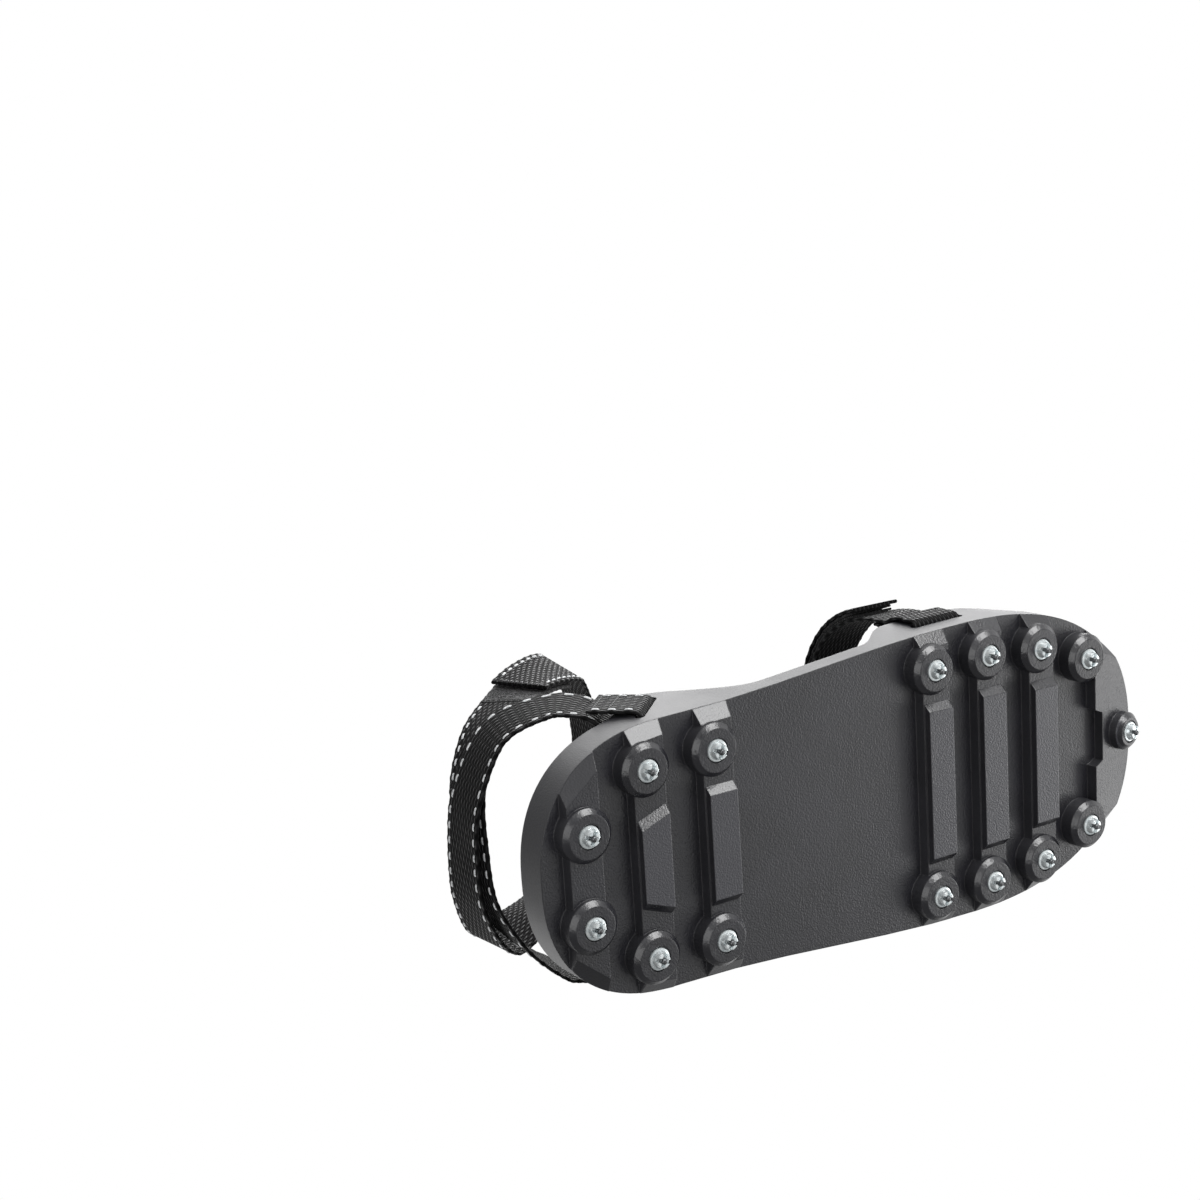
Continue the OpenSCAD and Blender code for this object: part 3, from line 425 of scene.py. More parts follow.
def trayPiece():
    # an edge is sharp from sharpDeg on; under the sole, off the middle, also where its faces' slopes differ,
    # so that a sloped bar end doesn't shade into the boss beside it
    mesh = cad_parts["tray"].data.copy()
    bm = bmesh.new()
    bm.from_mesh(mesh)
    bmesh.ops.remove_doubles(bm, verts=bm.verts, dist=tray["merge"])
    bm.normal_update()
    for edge in bm.edges:
        slopes = [face.normal.z for face in edge.link_faces]
        under = max(slopes) < tray["underBelow"] and abs(edge.verts[0].co.x) > tray["offMiddle"]
        stepped = under and max(slopes) - min(slopes) > tray["slopeStep"]
        edge.smooth = edge.calc_face_angle(0.0) < math.radians(tray["sharpDeg"]) and not stepped
    bm.to_mesh(mesh)
    bm.free()
    mesh.name = "trayRubber"
    mesh.materials.clear()
    mesh.materials.append(rubber)
    mesh.polygons.foreach_set("use_smooth", np.ones(len(mesh.polygons), dtype=bool))
    ridesOn("tray", "rubber", [placed("trayRubber", mesh)], "tray")


trayPiece()
print("tray ready")


# The sole's own measures, for what is set out from it: a station is a distance from the rear end

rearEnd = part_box("tray")[1][1] / mm  # y of station 0
sole = {"length": 308, "heelHalf": 54.5, "ballHalf": 64.5, "heelRound": 60, "toeRound": 93, "power": 2.35,
        "under": 12, "wall": 3}


def yAt(station):
    # the toe is towards -y
    return rearEnd - station


def rounded(t):
    # superellipse: one side of a rounded end against the distance into it
    return (1 - np.clip(t, 0, 1) ** sole["power"]) ** (1 / sole["power"])


def halfWidth(station):
    # rounded heel, widening middle, rounded toe
    toeStart = sole["length"] - sole["toeRound"]
    if station < sole["heelRound"]:
        return sole["heelHalf"] * rounded((sole["heelRound"] - station) / sole["heelRound"])
    if station > toeStart:
        return sole["ballHalf"] * rounded((station - toeStart) / sole["toeRound"])
    share = smooth((station - sole["heelRound"]) / (toeStart - sole["heelRound"]))
    return sole["heelHalf"] + (sole["ballHalf"] - sole["heelHalf"]) * share


# Studs: a turned flange with a four-lobed crown, and the carbide point in it

stud = {"disc": 4.5, "discFace": 3.8, "discBack": 5.0, "backEase": 0.1, "shank": 2.2, "shankTop": 12.0,
        "crownFoot": 3.6, "footEase": 0.35, "crownTop": 3.0, "crownFace": 1.1, "taper": (0.15, 0.6),
        "topEase": 0.3, "lip": 0.08, "ease": 0.4, "easeIn": 0.12, "faceRings": (2.0, 1.7, 1.4),
        "boreLip": 0.05, "bore": 0.02, "slotDepth": 1.5, "slotHalf": 0.7, "slotEdge": 0.25, "slotRoof": 2.5,
        "slotTurn": 20, "angles": 96, "sharpDeg": 35}
pin = {"radius": 1.2, "top": 3.0, "shoulder": 0.8, "tip": 0.001, "angles": 32, "sharpDeg": 50,
       "dome": ((0.001, 0), (0.35, 0.03), (0.7, 0.12), (0.95, 0.28), (1.12, 0.5))}


def turned(profile, angles):
    # a profile of radius against height carried round the axis
    r, a = np.meshgrid(profile[:, 0], np.linspace(0, 2 * np.pi, angles, endpoint=False), indexing="ij")
    z = np.repeat(profile[:, 1:], angles, axis=1)
    return np.stack([r * np.cos(a), r * np.sin(a), z], axis=-1)


def studProfile():
    # radius and height from the shank round the disc's rim, up the crown and into the pin's bore
    s = stud
    back, face, top = s["discBack"], s["discFace"], s["crownFace"]
    return np.array([
        (s["shank"], s["shankTop"]), (s["shank"], back),
        (s["disc"] - s["backEase"], back), (s["disc"], back - s["backEase"]),
        (s["disc"], face + s["ease"]), (s["disc"] - s["easeIn"], face + s["easeIn"]),
        (s["disc"] - s["ease"], face),
        (s["crownFoot"] + s["footEase"], face), (s["crownFoot"], face - s["easeIn"]),
        (s["crownFoot"] - s["easeIn"], face - s["ease"]),
        (s["crownTop"] + s["taper"][0], top + s["taper"][1]), (s["crownTop"], top + s["topEase"]),
        (s["crownTop"] - s["easeIn"], top + s["lip"]), (s["crownTop"] - s["ease"], top),
        *((ring, top) for ring in s["faceRings"]),
        (pin["radius"] + s["boreLip"], top + s["lip"]), (pin["radius"] + s["bore"], pin["top"])])


def studSurface():
    # the turned profile; within a slot's half width of two crossing lines the crown is lowered by its depth
    points = turned(studProfile(), stud["angles"])
    x, y, z = np.moveaxis(points, -1, 0)
    c, s = math.cos(math.radians(stud["slotTurn"])), math.sin(math.radians(stud["slotTurn"]))
    across = np.minimum(np.abs(y * c - x * s), np.abs(x * c + y * s))
    inSlot = 1 - smooth((across - stud["slotHalf"]) / stud["slotEdge"] + 0.5)
    lowered = np.maximum(z, stud["crownFace"] + stud["slotDepth"] * inSlot)
    points[..., 2] = np.where(z < stud["slotRoof"], lowered, z)
    return points


def pinSurface():
    # a short rod with a domed point, turned round its axis
    p = pin
    ends = ((p["radius"], p["shoulder"]), (p["radius"], p["top"]), (p["tip"], p["top"]))
    return turned(np.array([*p["dome"], *ends]), p["angles"])


tread = {"rear": (17.5, 18), "heel": (45, 77), "forefoot": (189, 219, 249, 277), "toe": 302, "heelInset": 16,
         "forefootInset": 14.4, "toeLean": 10, "toePinRise": 0.044, "bossFace": 4}


def leaned(points):
    # the toe stud tips forward about a line across the face of its boss
    a = math.radians(-tread["toeLean"])
    y, z = points[..., 1], points[..., 2] - tread["bossFace"]
    return np.stack([points[..., 0], y * math.cos(a) - z * math.sin(a),
                     y * math.sin(a) + z * math.cos(a) + tread["bossFace"]], axis=-1)


def studRow(stations, inset):
    # outer and inner place at each station, in from the sole's edge, as distance across and station
    return [(side * (halfWidth(s) - inset), s) for s in stations for side in (-1, 1)]


def studPieces():
    # every stud is the turned surface moved to its place, and the points of a group are one piece
    crown, point = studSurface(), pinSurface()
    faces, pointFaces = (gridFaces(*shape.shape[:2], True) for shape in (crown, point))
    rear, across = tread["rear"]
    heelPlaces = [(-across, rear), (across, rear)] + studRow(tread["heel"], tread["heelInset"])
    forePlaces = studRow(tread["forefoot"], tread["forefootInset"])
    for stem, places, pinNode in (("heel_stud", heelPlaces, "heel_stud_pins"),
                                  ("forefoot_stud", forePlaces, "forefoot_stud_pins"),
                                  ("toe_stud", [(0, tread["toe"])], "toe_stud_pin")):
        atToe = stem == "toe_stud"
        studShape = leaned(crown) if atToe else crown
        pinShape = leaned(point + np.array([0, 0, tread["toePinRise"]])) if atToe else point
        spots = [np.array([x, yAt(station), 0]) for x, station in places]
        for number, spot in enumerate(spots, 1):
            node = stem if atToe else f"{stem}_{number}"
            piece = makePiece("turned_" + node, (studShape + spot).reshape(-1, 3), faces, zinc,
                              sharpDeg=stud["sharpDeg"])
            ridesOn("tray", "zinc", [piece], node)
        points = np.concatenate([pinShape + spot for spot in spots]).reshape(-1, 3)
        pinFaces = np.concatenate([pointFaces + k * point[..., 0].size for k in range(len(spots))])
        piece = makePiece("points_" + pinNode, points, pinFaces, carbide, sharpDeg=pin["sharpDeg"])
        ridesOn("tray", "carbide", [piece], pinNode)


studPieces()
print("studs ready")


# Webbing: a flat section with rounded edges carried along a route

web = {"width": 25, "thick": 1.6, "patch": 1.2, "gap": 0.3, "sewnGap": 0.1, "loopGap": 0.4, "crestRoom": 0.5,
       "dip": 0.2, "tooth": 0.16, "ribSteps": 7, "patchMargin": 2, "patchPlay": 0.1, "sharpDeg": 50}
halfThick = web["thick"] / 2
halfWeb = web["width"] / 2
layers = web["thick"] + web["patch"] + web["gap"] + web["patch"]  # from a strap's underside to its tail's
crest = web["thick"] + web["gap"] + web["crestRoom"]  # lift of a strap that passes over another
threadStep = 0.4  # spacing of the points that threads are set out from


def resample(route, out, step):
    # the route and its outward directions at even steps of arc length
    gaps = np.linalg.norm(np.diff(route, axis=0), axis=1)
    keep = np.concatenate([[True], gaps > 1e-6])
    route, out = route[keep], out[keep]
    arc = np.concatenate([[0], np.cumsum(np.linalg.norm(np.diff(route, axis=0), axis=1))])
    at = np.linspace(0, arc[-1], max(4, int(round(arc[-1] / step)) + 1))
    return readRows(at, arc, route), readRows(at, arc, out), at


def strapAxes(points, out):
    # direction along, outward and sideways at each point, all square to each other
    along = unit(np.gradient(points, axis=0))
    outward = unit(out - np.sum(out * along, axis=1, keepdims=True) * along)
    return along, outward, np.cross(along, outward)


def webSection(width, thick, faceSteps=12, edgeSteps=5):
    # one turn round a strap's section: across the outer face, round an edge, back, round the other edge
    r = thick / 2
    flat = np.linspace(-width / 2 + r, width / 2 - r, faceSteps)
    bend = np.linspace(np.pi / 2, -np.pi / 2, edgeSteps + 2)[1:-1]
    across = np.concatenate([flat, width / 2 - r + r * np.cos(bend), flat[::-1],
                             -width / 2 + r - r * np.cos(bend)])
    outward = np.concatenate([np.full(faceSteps, r), r * np.sin(bend), np.full(faceSteps, -r),
                              -r * np.sin(bend)])
    return across, outward


def strapPiece(name, route, out, material, width=web["width"], thick=web["thick"], lift=0.0):
    # point = route + across * sideways + (lift + outward) * out; both faces dip between the ribs, and the
    # edges carry a small tooth on every other rib
    pitch = weaveLook["pitch"] / mm
    points, ways, at = resample(route, out, pitch / web["ribSteps"])
    _, outward, side = strapAxes(points, ways)
    across, off = webSection(width, thick)
    wave = np.cos(np.pi * at / pitch)[:, None]
    swell = 1 - 2 * web["dip"] / thick * (1 - np.abs(wave))
    teeth = 1 - 2 * web["tooth"] / width * wave
    body = (points[:, None, :] + (across * teeth)[..., None] * side[:, None, :]
            + (lift + off * swell)[..., None] * outward[:, None, :])
    rows, cols = body.shape[:2]
    faces = gridFaces(rows, cols, True).tolist()
    faces.append(list(range(cols)))
    faces.append(list(range((rows - 1) * cols, rows * cols))[::-1])
    uv = np.stack(np.meshgrid(at, across, indexing="ij"), axis=-1).reshape(-1, 2)
    return makePiece(name, body.reshape(-1, 3), faces, material, uv=uv, sharpDeg=web["sharpDeg"])


stitch = {"length": 3.3, "pitch": 6.6, "inset": 2.4, "width": 1.15, "height": 0.45, "start": 1.65, "end": 1,
          "sunk": 0.12, "endWidth": 0.55}


def stitchPiece(name, route, out, lift=0.0, skip=0.0, skipEnd=0.0):
    # two lines of short domed threads on the outer face: each is a half sausage, highest in its middle
    points, ways, at = resample(route, out, threadStep)
    _, outward, side = strapAxes(points, ways)
    last = at[-1] - skipEnd - stitch["length"] - stitch["end"]
    starts = np.arange(skip + stitch["start"], last, stitch["pitch"])
    a, b = np.linspace(0, 1, 7), np.linspace(-1, 1, 5)
    place = starts[:, None] + a * stitch["length"]
    base, up, across = (readRows(place, at, rows)[:, :, None] for rows in (points, outward, side))
    hump = bulge(2 * a - 1, 4)[:, None]
    rise = lift + halfThick - stitch["sunk"] + stitch["height"] * hump * bulge(b, 2)
    spread = b * stitch["width"] / 2 * (stitch["endWidth"] + (1 - stitch["endWidth"]) * hump)
    lines = [base + (row * (halfWeb - stitch["inset"]) + spread)[..., None] * across + rise[..., None] * up
             for row in (-1, 1)]
    return smallGrids(name, np.concatenate(lines), whiteThread)


seam = {"length": 1.5, "pitch": 2.1, "width": 0.75, "height": 0.35, "margin": 2.6, "sunk": 0.1,
        "earRows": (1.0, 5.0), "tabRows": (2.2, 8.5), "fromEnd": 1.6}


def seamPiece(name, route, out, places, material=darkThread):
    # rows of short threads across the strap, each a small dome, at distances along the route
    points, ways, at = resample(route, out, threadStep)
    along, outward, side = strapAxes(points, ways)
    edge = halfWeb - seam["margin"]
    starts = np.arange(-edge, edge - seam["length"], seam["pitch"])
    a, b = np.linspace(0, 1, 5)[:, None], np.linspace(-1, 1, 5)
    shift = (starts[:, None, None] + a * seam["length"])[..., None]
    ahead = (b * seam["width"] / 2)[:, None]
    high = (halfThick - seam["sunk"] + seam["height"] * (bulge(2 * a - 1, 4) * bulge(b, 2)))[..., None]
    spots = [int(np.argmin(np.abs(at - place))) for place in places]
    rows = [points[k] + shift * side[k] + ahead * along[k] + high * outward[k] for k in spots]
    return smallGrids(name, np.concatenate(rows), material)


fuzz = {"count": 900, "length": (0.8, 1.9), "rise": 0.35, "width": 0.07, "spread": 0.46, "lift": 0.1,
        "seed": 7}


def fuzzPiece(name, route, out):
    # loose loops: thin arched ribbons at seeded places on a strap's face,
    # point = place + s * way + height(s) * out
    pick = np.random.default_rng(fuzz["seed"])
    points, ways, _ = resample(route, out, threadStep)
    along, outward, side = strapAxes(points, ways)
    k = pick.integers(2, len(points) - 2, fuzz["count"])
    v = pick.uniform(-fuzz["spread"], fuzz["spread"], fuzz["count"])[:, None] * web["width"]
    turn = pick.uniform(0, 2 * np.pi, fuzz["count"])[:, None]
    length = pick.uniform(*fuzz["length"], fuzz["count"])[:, None]
    way = np.cos(turn) * along[k] + np.sin(turn) * side[k]
    wide = np.cos(turn) * side[k] - np.sin(turn) * along[k]
    s = np.linspace(-0.5, 0.5, 5)
    height = halfThick + fuzz["lift"] + fuzz["rise"] * (1 - 4 * s ** 2)
    middle = ((points[k] + v * side[k])[:, None] + (length * s)[..., None] * way[:, None]
              + height[:, None] * outward[k][:, None])
    edges = np.array([-0.5, 0.5]) * fuzz["width"]
    return smallGrids(name, middle[:, :, None] + edges[:, None] * wide[:, None, None], fibre)


def patchPieces(stem, route):
    # a hook patch on the tail and a loop patch under it; route(lift) is a patch's middle line at a height
    for word, lift, material, body in (("Hook", layers - web["patch"] / 2, hookPile, stem + "_tail"),
                                       ("Loop", web["thick"] + web["patch"] / 2, loopPile, "tray")):
        piece = strapPiece(stem + word, *route(lift), material, web["width"] - web["patchMargin"],
                           web["patch"] - web["patchPlay"])
        ridesOn(body, "pile", [piece], f"{stem}_{word.lower()}_patch")


def flatNormals(path):
    # left normals of a path drawn in a plane
    t = unit(np.gradient(path, axis=0))
    return np.stack([-t[:, 1], t[:, 0]], axis=1)


def inPlane(path, origin, across, upward=(0, 0, 1)):
    # a path drawn in a plane becomes points in space, with its left normals as outward directions
    axes = np.array([across, upward], float)
    return np.array(origin) + path @ axes, flatNormals(path) @ axes


def loopSides(station, ahead, behind):
    # the webbing's middle line inside and outside the rim, clear of it over the strap's width
    edge = halfWidth(station)
    wider = max(halfWidth(station + ahead) - edge, 0)
    narrower = max(edge - halfWidth(station - behind), 0)
    clear = web["loopGap"] + halfThick
    return edge - sole["wall"] - narrower - clear, edge + wider + clear


loop = {"turnRoom": 0.5, "legGap": 0.3, "slotHeight": 4, "rimRoom": 2, "outerDrop": 0.5, "legRise": 6}


def arcLoop(inside, outside, slotTop, rimTop, innerEnd, outerEnd):
    # a loop round a bar in its own plane: down inside the rim, a half circle through the slot, up outside
    t = np.linspace(0, 1, 14)
    mid, r = (inside + outside) / 2, (outside - inside) / 2
    turn = slotTop + max(loop["turnRoom"], r + halfThick + loop["legGap"] - loop["slotHeight"])
    low, high = rimTop + loop["rimRoom"], rimTop - loop["outerDrop"]
    down = np.stack([innerEnd[0] + (inside - innerEnd[0]) * smooth(t),
                     innerEnd[1] + (low - innerEnd[1]) * t], axis=1)
    a = np.radians(np.linspace(180, 360, 25))
    bend = np.stack([mid + r * np.cos(a), turn + r * np.sin(a)], axis=1)
    up = np.stack([outside + (outerEnd[0] - outside) * smooth(t), high + (outerEnd[1] - high) * t], axis=1)
    return np.concatenate([down, bend, up])


def oval(curve, angle):
    # superellipse: distance from the middle and height, against an angle in degrees
    c, s = np.cos(np.radians(angle)), np.sin(np.radians(angle))
    power = 2 / curve["power"]
    return np.stack([curve["span"] * np.sign(c) * np.abs(c) ** power,
                     curve["foot"] + curve["rise"] * np.abs(s) ** power], axis=-1)


def ovalAngleAt(curve, x):
    # the angle at a distance from the middle
    return math.degrees(math.acos(np.sign(x) * (abs(x) / curve["span"]) ** (curve["power"] / 2)))


def ovalAngleUp(curve, z):
    # the angle at a height, on the side where angles start
    return math.degrees(math.asin(((z - curve["foot"]) / curve["rise"]) ** (curve["power"] / 2)))


# Forefoot strap: an arch across the foot, with angles from the outer side over the instep to the inner side

fore = {"station": 207, "foot": 44, "instep": 100, "power": 2.4, "start": 3, "peel": 16, "peelGap": 0.5,
        "fold": 5, "tailEnd": 62, "setback": 9, "patchSetback": 14, "patchEnd": 3, "drop": 12,
        "rampShare": 0.75, "rampRoom": 1.5, "plain": 59.4, "slotTop": 25.5, "rimTop": 36}
foreIn, foreOut = loopSides(fore["station"], halfWeb, halfWeb)
arch = {"span": (foreIn + foreOut) / 2 - halfThick, "foot": fore["foot"],
        "rise": fore["instep"] - fore["foot"], "power": fore["power"]}


def archPoint(angle):
    # the oval with its outer side towards -x
    return oval(arch, angle) * np.array([-1, 1])


def archLifted(angle, lift):
    # the arch moved outwards, square to itself
    t = unit(archPoint(angle + 0.5) - archPoint(angle - 0.5))
    return archPoint(angle) + np.asarray(lift)[..., None] * np.stack([-t[:, 1], t[:, 0]], axis=-1)


def acrossFoot(path):
    # a path of distance across and height, at the strap's station
    return inPlane(path, (0, yAt(fore["station"]), 0), (1, 0, 0))


def forefootPieces():
    # the plain outer length, the inner length with its tail, and the patches between them
    earLoop = arcLoop(foreIn, foreOut, fore["slotTop"], fore["rimTop"],
                      (arch["span"] - halfThick - loop["legGap"], fore["foot"] + loop["legRise"]),
                      (arch["span"] + halfThick, fore["foot"]))
    angles = np.linspace(fore["start"], ovalAngleAt(arch, fore["peel"] + fore["setback"]), 60)
    rise = archLifted(angles, halfThick)
    path = np.concatenate([earLoop * np.array([-1, 1]), rise])
    piece = strapPiece("forefootLateral", *acrossFoot(path), webbing)
    seams = seamPiece("forefootLateralSeams", *acrossFoot(rise), seam["earRows"])
    ridesOn("tray", "webbing", (piece, seams), "forefoot_strap_lateral")

    # the inner length climbs over the toe strap, then its loose end comes down onto the patches
    angles = np.linspace(180 - fore["start"], ovalAngleUp(arch, fore["tailEnd"]), 220)
    x = archPoint(angles)[:, 0]
    rampStart = arch["span"] * fore["rampShare"]
    climb = crest * smooth((rampStart - x) / (rampStart - halfWeb - fore["rampRoom"]))
    descent = crest + (layers - crest) * smooth((-x - fore["peel"]) / fore["drop"])
    lift = np.where(x < -fore["peel"], descent, climb)
    points, out = acrossFoot(np.concatenate([earLoop, archLifted(angles, lift + halfThick)]))
    piece = strapPiece("forefootOuter", points, -out, webbing)
    dashes = stitchPiece("forefootOuterStitches", points, -out, skip=fore["plain"])
    middle = np.array([-fore["peel"] - fore["peelGap"], 0, fore["instep"]])
    foldsFrom("tray", "forefoot_tail", middle, np.array([-fore["fold"], 0, 0]), (piece, dashes),
              "forefoot_strap_medial", "forefoot_strap_tail")

    patch = np.linspace(ovalAngleUp(arch, fore["tailEnd"] + fore["patchEnd"]),
                        ovalAngleAt(arch, fore["peel"] + fore["patchSetback"]), 40)
    patchPieces("forefoot", lambda lift: acrossFoot(archLifted(patch, lift)))


forefootPieces()
print("forefoot strap ready")


# Toe strap: over the toe in the middle of the foot, with angles from the toe back and up to the crest

toe = {"foot": 34, "power": 2.3, "start": 3, "top": 88, "peelLead": 7, "tailEnd": 46, "foldRoom": 3,
       "patchLead": 8, "patchEnd": 3, "legIn": 0.9, "dashLift": 0.1, "slotTop": 23, "rimTop": 29,
       "slope": 0.35, "fold": 5 / 1.06}  # a step of 1 down this slope is 1.06 long
toeEdge = sole["length"] - sole["toeRound"] + sole["toeRound"] * rounded(halfWeb / sole["ballHalf"])
toeOut = sole["length"] + web["loopGap"] + halfThick
toeIn = toeEdge - sole["wall"] - web["loopGap"] - halfThick
toeJoin = (toeIn + toeOut) / 2
cap = {"span": toeJoin - halfThick - fore["station"], "foot": toe["foot"],
       "rise": fore["instep"] - toe["foot"], "power": toe["power"]}


def toeCurve(first, last, count):
    # the oval from one angle to another, as station and height
    return oval(cap, np.linspace(first, last, count)) + np.array([fore["station"], 0])


def alongFoot(path):
    # a path of station and height, in the middle of the foot
    return inPlane(path, (0, yAt(0), 0), (0, -1, 0))


def toePieces():
    # the strap up to its fold, the return layer with the tail, and the patches between them
    over = layers + halfThick
    r = (over - halfThick) / 2
    crestZ = fore["instep"] + halfThick
    foldStation = fore["station"] - halfWeb - toe["foldRoom"]
    barLoop = arcLoop(toeIn, toeOut, toe["slotTop"], toe["rimTop"],
                      (toeJoin - web["thick"] - toe["legIn"], toe["foot"] + loop["legRise"]),
                      (toeJoin, toe["foot"]))
    climb = toeCurve(toe["start"], toe["top"], 120)
    lifted = climb - halfThick * flatNormals(climb)
    a = np.radians(np.linspace(-90, -270, 24))
    fold = np.stack([foldStation + r * np.cos(a), crestZ + r + r * np.sin(a)], axis=1)
    points, out = alongFoot(np.concatenate([barLoop, lifted, fold]))
    piece = strapPiece("toeStrap", points, -out, webbing)
    points, out = alongFoot(lifted)
    seams = seamPiece("toeSeams", points, -out, seam["earRows"])
    ridesOn("tray", "webbing", (piece, seams), "toe_strap")

    # the return layer goes over the forefoot strap and down the toe to its cut end
    peelStation = fore["station"] + halfWeb + toe["peelLead"]
    top = np.stack([np.linspace(foldStation, fore["station"], 20), np.full(20, crestZ + 2 * r)], axis=1)
    away = toeCurve(toe["top"], ovalAngleUp(cap, toe["tailEnd"]), 160)
    points, out = alongFoot(np.concatenate([top, away + over * flatNormals(away)]))
    piece = strapPiece("toeTail", points, out, webbing)
    dashes = stitchPiece("toeTailStitches", points, out, lift=toe["dashLift"])
    station, z = away[np.argmin(np.abs(away[:, 0] - peelStation))]
    foldsFrom("tray", "toe_tail", np.array([0, yAt(station), z + over]),
              np.array([0, -1, -toe["slope"]]) * toe["fold"], (piece, dashes), "toe_strap_tail")

    patch = toeCurve(ovalAngleAt(cap, peelStation + toe["patchLead"] - fore["station"]),
                     ovalAngleUp(cap, toe["tailEnd"] + toe["patchEnd"]), 60)
    patchPieces("toe", lambda lift: alongFoot(patch + lift * flatNormals(patch)))


toePieces()
print("toe strap ready")


# Heel and ankle straps: routes in space that cross behind the heel and close round the ankle

heel = {"slotStation": 61, "slotRise": 16, "angle": 45, "swing": 22, "slotHalf": 2, "slant": 0.7,
        "barReach": 10.6, "tabEnd": 21, "legEnd": 24, "legIn": 0.25, "run": 12, "runIn": 0.6,
        "climb": (0.42, 0.74, 0.88), "fold": 7, "tabPoints": 20, "seamPoints": 14, "legPoints": 9}
ankle = {  # heel points: in from the edge and on from the crossing; ankle points: share of half, on, lift
    "crossing": 3, "crossingZ": 70, "crossingGap": 4.6, "frontZ": 162, "frontStation": 113, "half": 47,
    "innerHeel": ((12, 14), (32.5, 2)), "outerHeel": ((7, 10), (31, -2.5)),
    "innerAnkle": ((-0.51, 2.5, 3), (-0.89, 19, 2), (-1, 42, 0), (-1, 64, 0), (-0.9, 86, 0), (-0.66, 101, 0)),
    "outerAnkle": ((0.53, -1.5, 5), (1.04, 15, 4), (1.03, 42, 0), (1, 68, 0), (0.74, 93, 0)),
    "outerFront": ((0.3, 1), (-0.2, 0), (-0.66, 9)),  # share of half, back from the front
}
heelIn, heelOut = loopSides(heel["slotStation"], halfWeb, web["width"] * heel["slant"])
heelLeg = heelOut - web["thick"] - heel["legIn"]
earTilt = math.radians(heel["angle"])
earWay = np.array([0, math.cos(earTilt), math.sin(earTilt)])
swingStation = heel["slotStation"] - heel["swing"] * math.cos(earTilt)
swingZ = sole["under"] + heel["slotRise"] + heel["swing"] * math.sin(earTilt)


def spline(points, t):
    # Catmull-Rom curve through the points, with its ends held
    p = np.asarray(points, float)
    i = np.minimum(np.floor(t).astype(int), len(p) - 2)
    f = (t - i)[:, None]
    a, b = p[np.maximum(i - 1, 0)], p[i]
    c, d = p[i + 1], p[np.minimum(i + 2, len(p) - 1)]
    square, cube = 2 * a - 5 * b + 4 * c - d, 3 * b - a - 3 * c + d
    return 0.5 * (2 * b + (c - a) * f + square * f ** 2 + cube * f ** 3)


def squareOut(points):
    # outward from an upright line through the swing axis, made square to the way of the curve
    way = unit(np.gradient(points, axis=0))
    flat = unit((points - np.array([0, yAt(swingStation), 0])) * np.array([1, 1, 0]))
    return unit(flat - np.sum(flat * way, axis=1, keepdims=True) * way)


def ankleAt(share, station, lift=0.0):
    # a share of the ankle's half width; the height climbs evenly from the crossing to the front
    climb = (ankle["frontZ"] - ankle["crossingZ"]) / (ankle["frontStation"] - ankle["crossing"])
    z = ankle["crossingZ"] + climb * (station - ankle["crossing"]) + lift
    return [ankle["half"] * share, yAt(station), z]


def heelSide(x, station, share):
    # a share of the climb from the swing axis to the crossing
    return [x, yAt(station), swingZ + (ankle["crossingZ"] - swingZ) * share]


def strapRoute(side, heelPoints, anklePoints, back):
    # from inside the ear on one side, up to the crossing behind the heel, and on round the ankle
    crossing = ankle["crossing"]
    first, *climbs = heel["climb"]
    route = [heelSide(side * heelLeg, swingStation, 0),
             heelSide(side * (heelOut - heel["runIn"]), swingStation - heel["run"], first)]
    route += [heelSide(side * (sole["heelHalf"] - inset), crossing + on, climb)
              for (inset, on), climb in zip(heelPoints, climbs)]
    route.append([0, yAt(crossing - back), ankle["crossingZ"]])
    return route + [ankleAt(share, crossing + on, lift) for share, on, lift in anklePoints]


innerRoute = np.array(strapRoute(1, ankle["innerHeel"], ankle["innerAnkle"], 0), float)
outerRoute = np.array(
    strapRoute(-1, ankle["outerHeel"], ankle["outerAnkle"], ankle["crossingGap"])
    + [ankleAt(share, ankle["frontStation"] - back) for share, back in ankle["outerFront"]], float)

closing = {  # places along the routes, counted in their points
    "loopFrom": 0.35, "join": 1.5, "innerEnd": 7.0, "tailEnd": 7.25, "patchEnd": 8.5, "peel": 8.75,
    "tailFrom": 9.0, "nearPeel": 0.02, "hookInset": 0.125, "loopLap": 0.22, "fuzzLap": 0.21,
    "fuzzInset": 0.02}
closingWeb = {"fold": 4, "innerBare": 6.5, "tailBare": 1, "loopMargin": 0.6, "loopOver": 0.2}
tailLift = web["thick"] + web["gap"] + web["patch"] + web["sewnGap"]


def innerLifted(t):
    # the inner route moved outwards by the height of the tail over it
    dense = np.linspace(0, len(innerRoute) - 1, 1200)
    ways = readRows(t, dense, squareOut(spline(innerRoute, dense)))
    return spline(innerRoute, t) + tailLift * unit(ways)


def innerStretch(first, last, count):
    # part of the inner route with its outward directions
    points = spline(innerRoute, np.linspace(first, last, count))
    return points, squareOut(points)


def heelLoop(side):
    # the webbing comes down inside the ear, goes out through the slot and ends in a tab sewn on outside;
    # given from the tab's cut end, with the directions of the face that shows on the tab
    path = arcLoop(heelIn, heelOut, heel["slotHalf"], heel["barReach"], (heelLeg, heel["legEnd"]),
                   (heelOut, heel["tabEnd"]))
    slot = (0, yAt(heel["slotStation"]), sole["under"] + heel["slotRise"])
    points, out = inPlane(path, slot, (side, 0, 0), earWay)
    return points[::-1], -out[::-1]


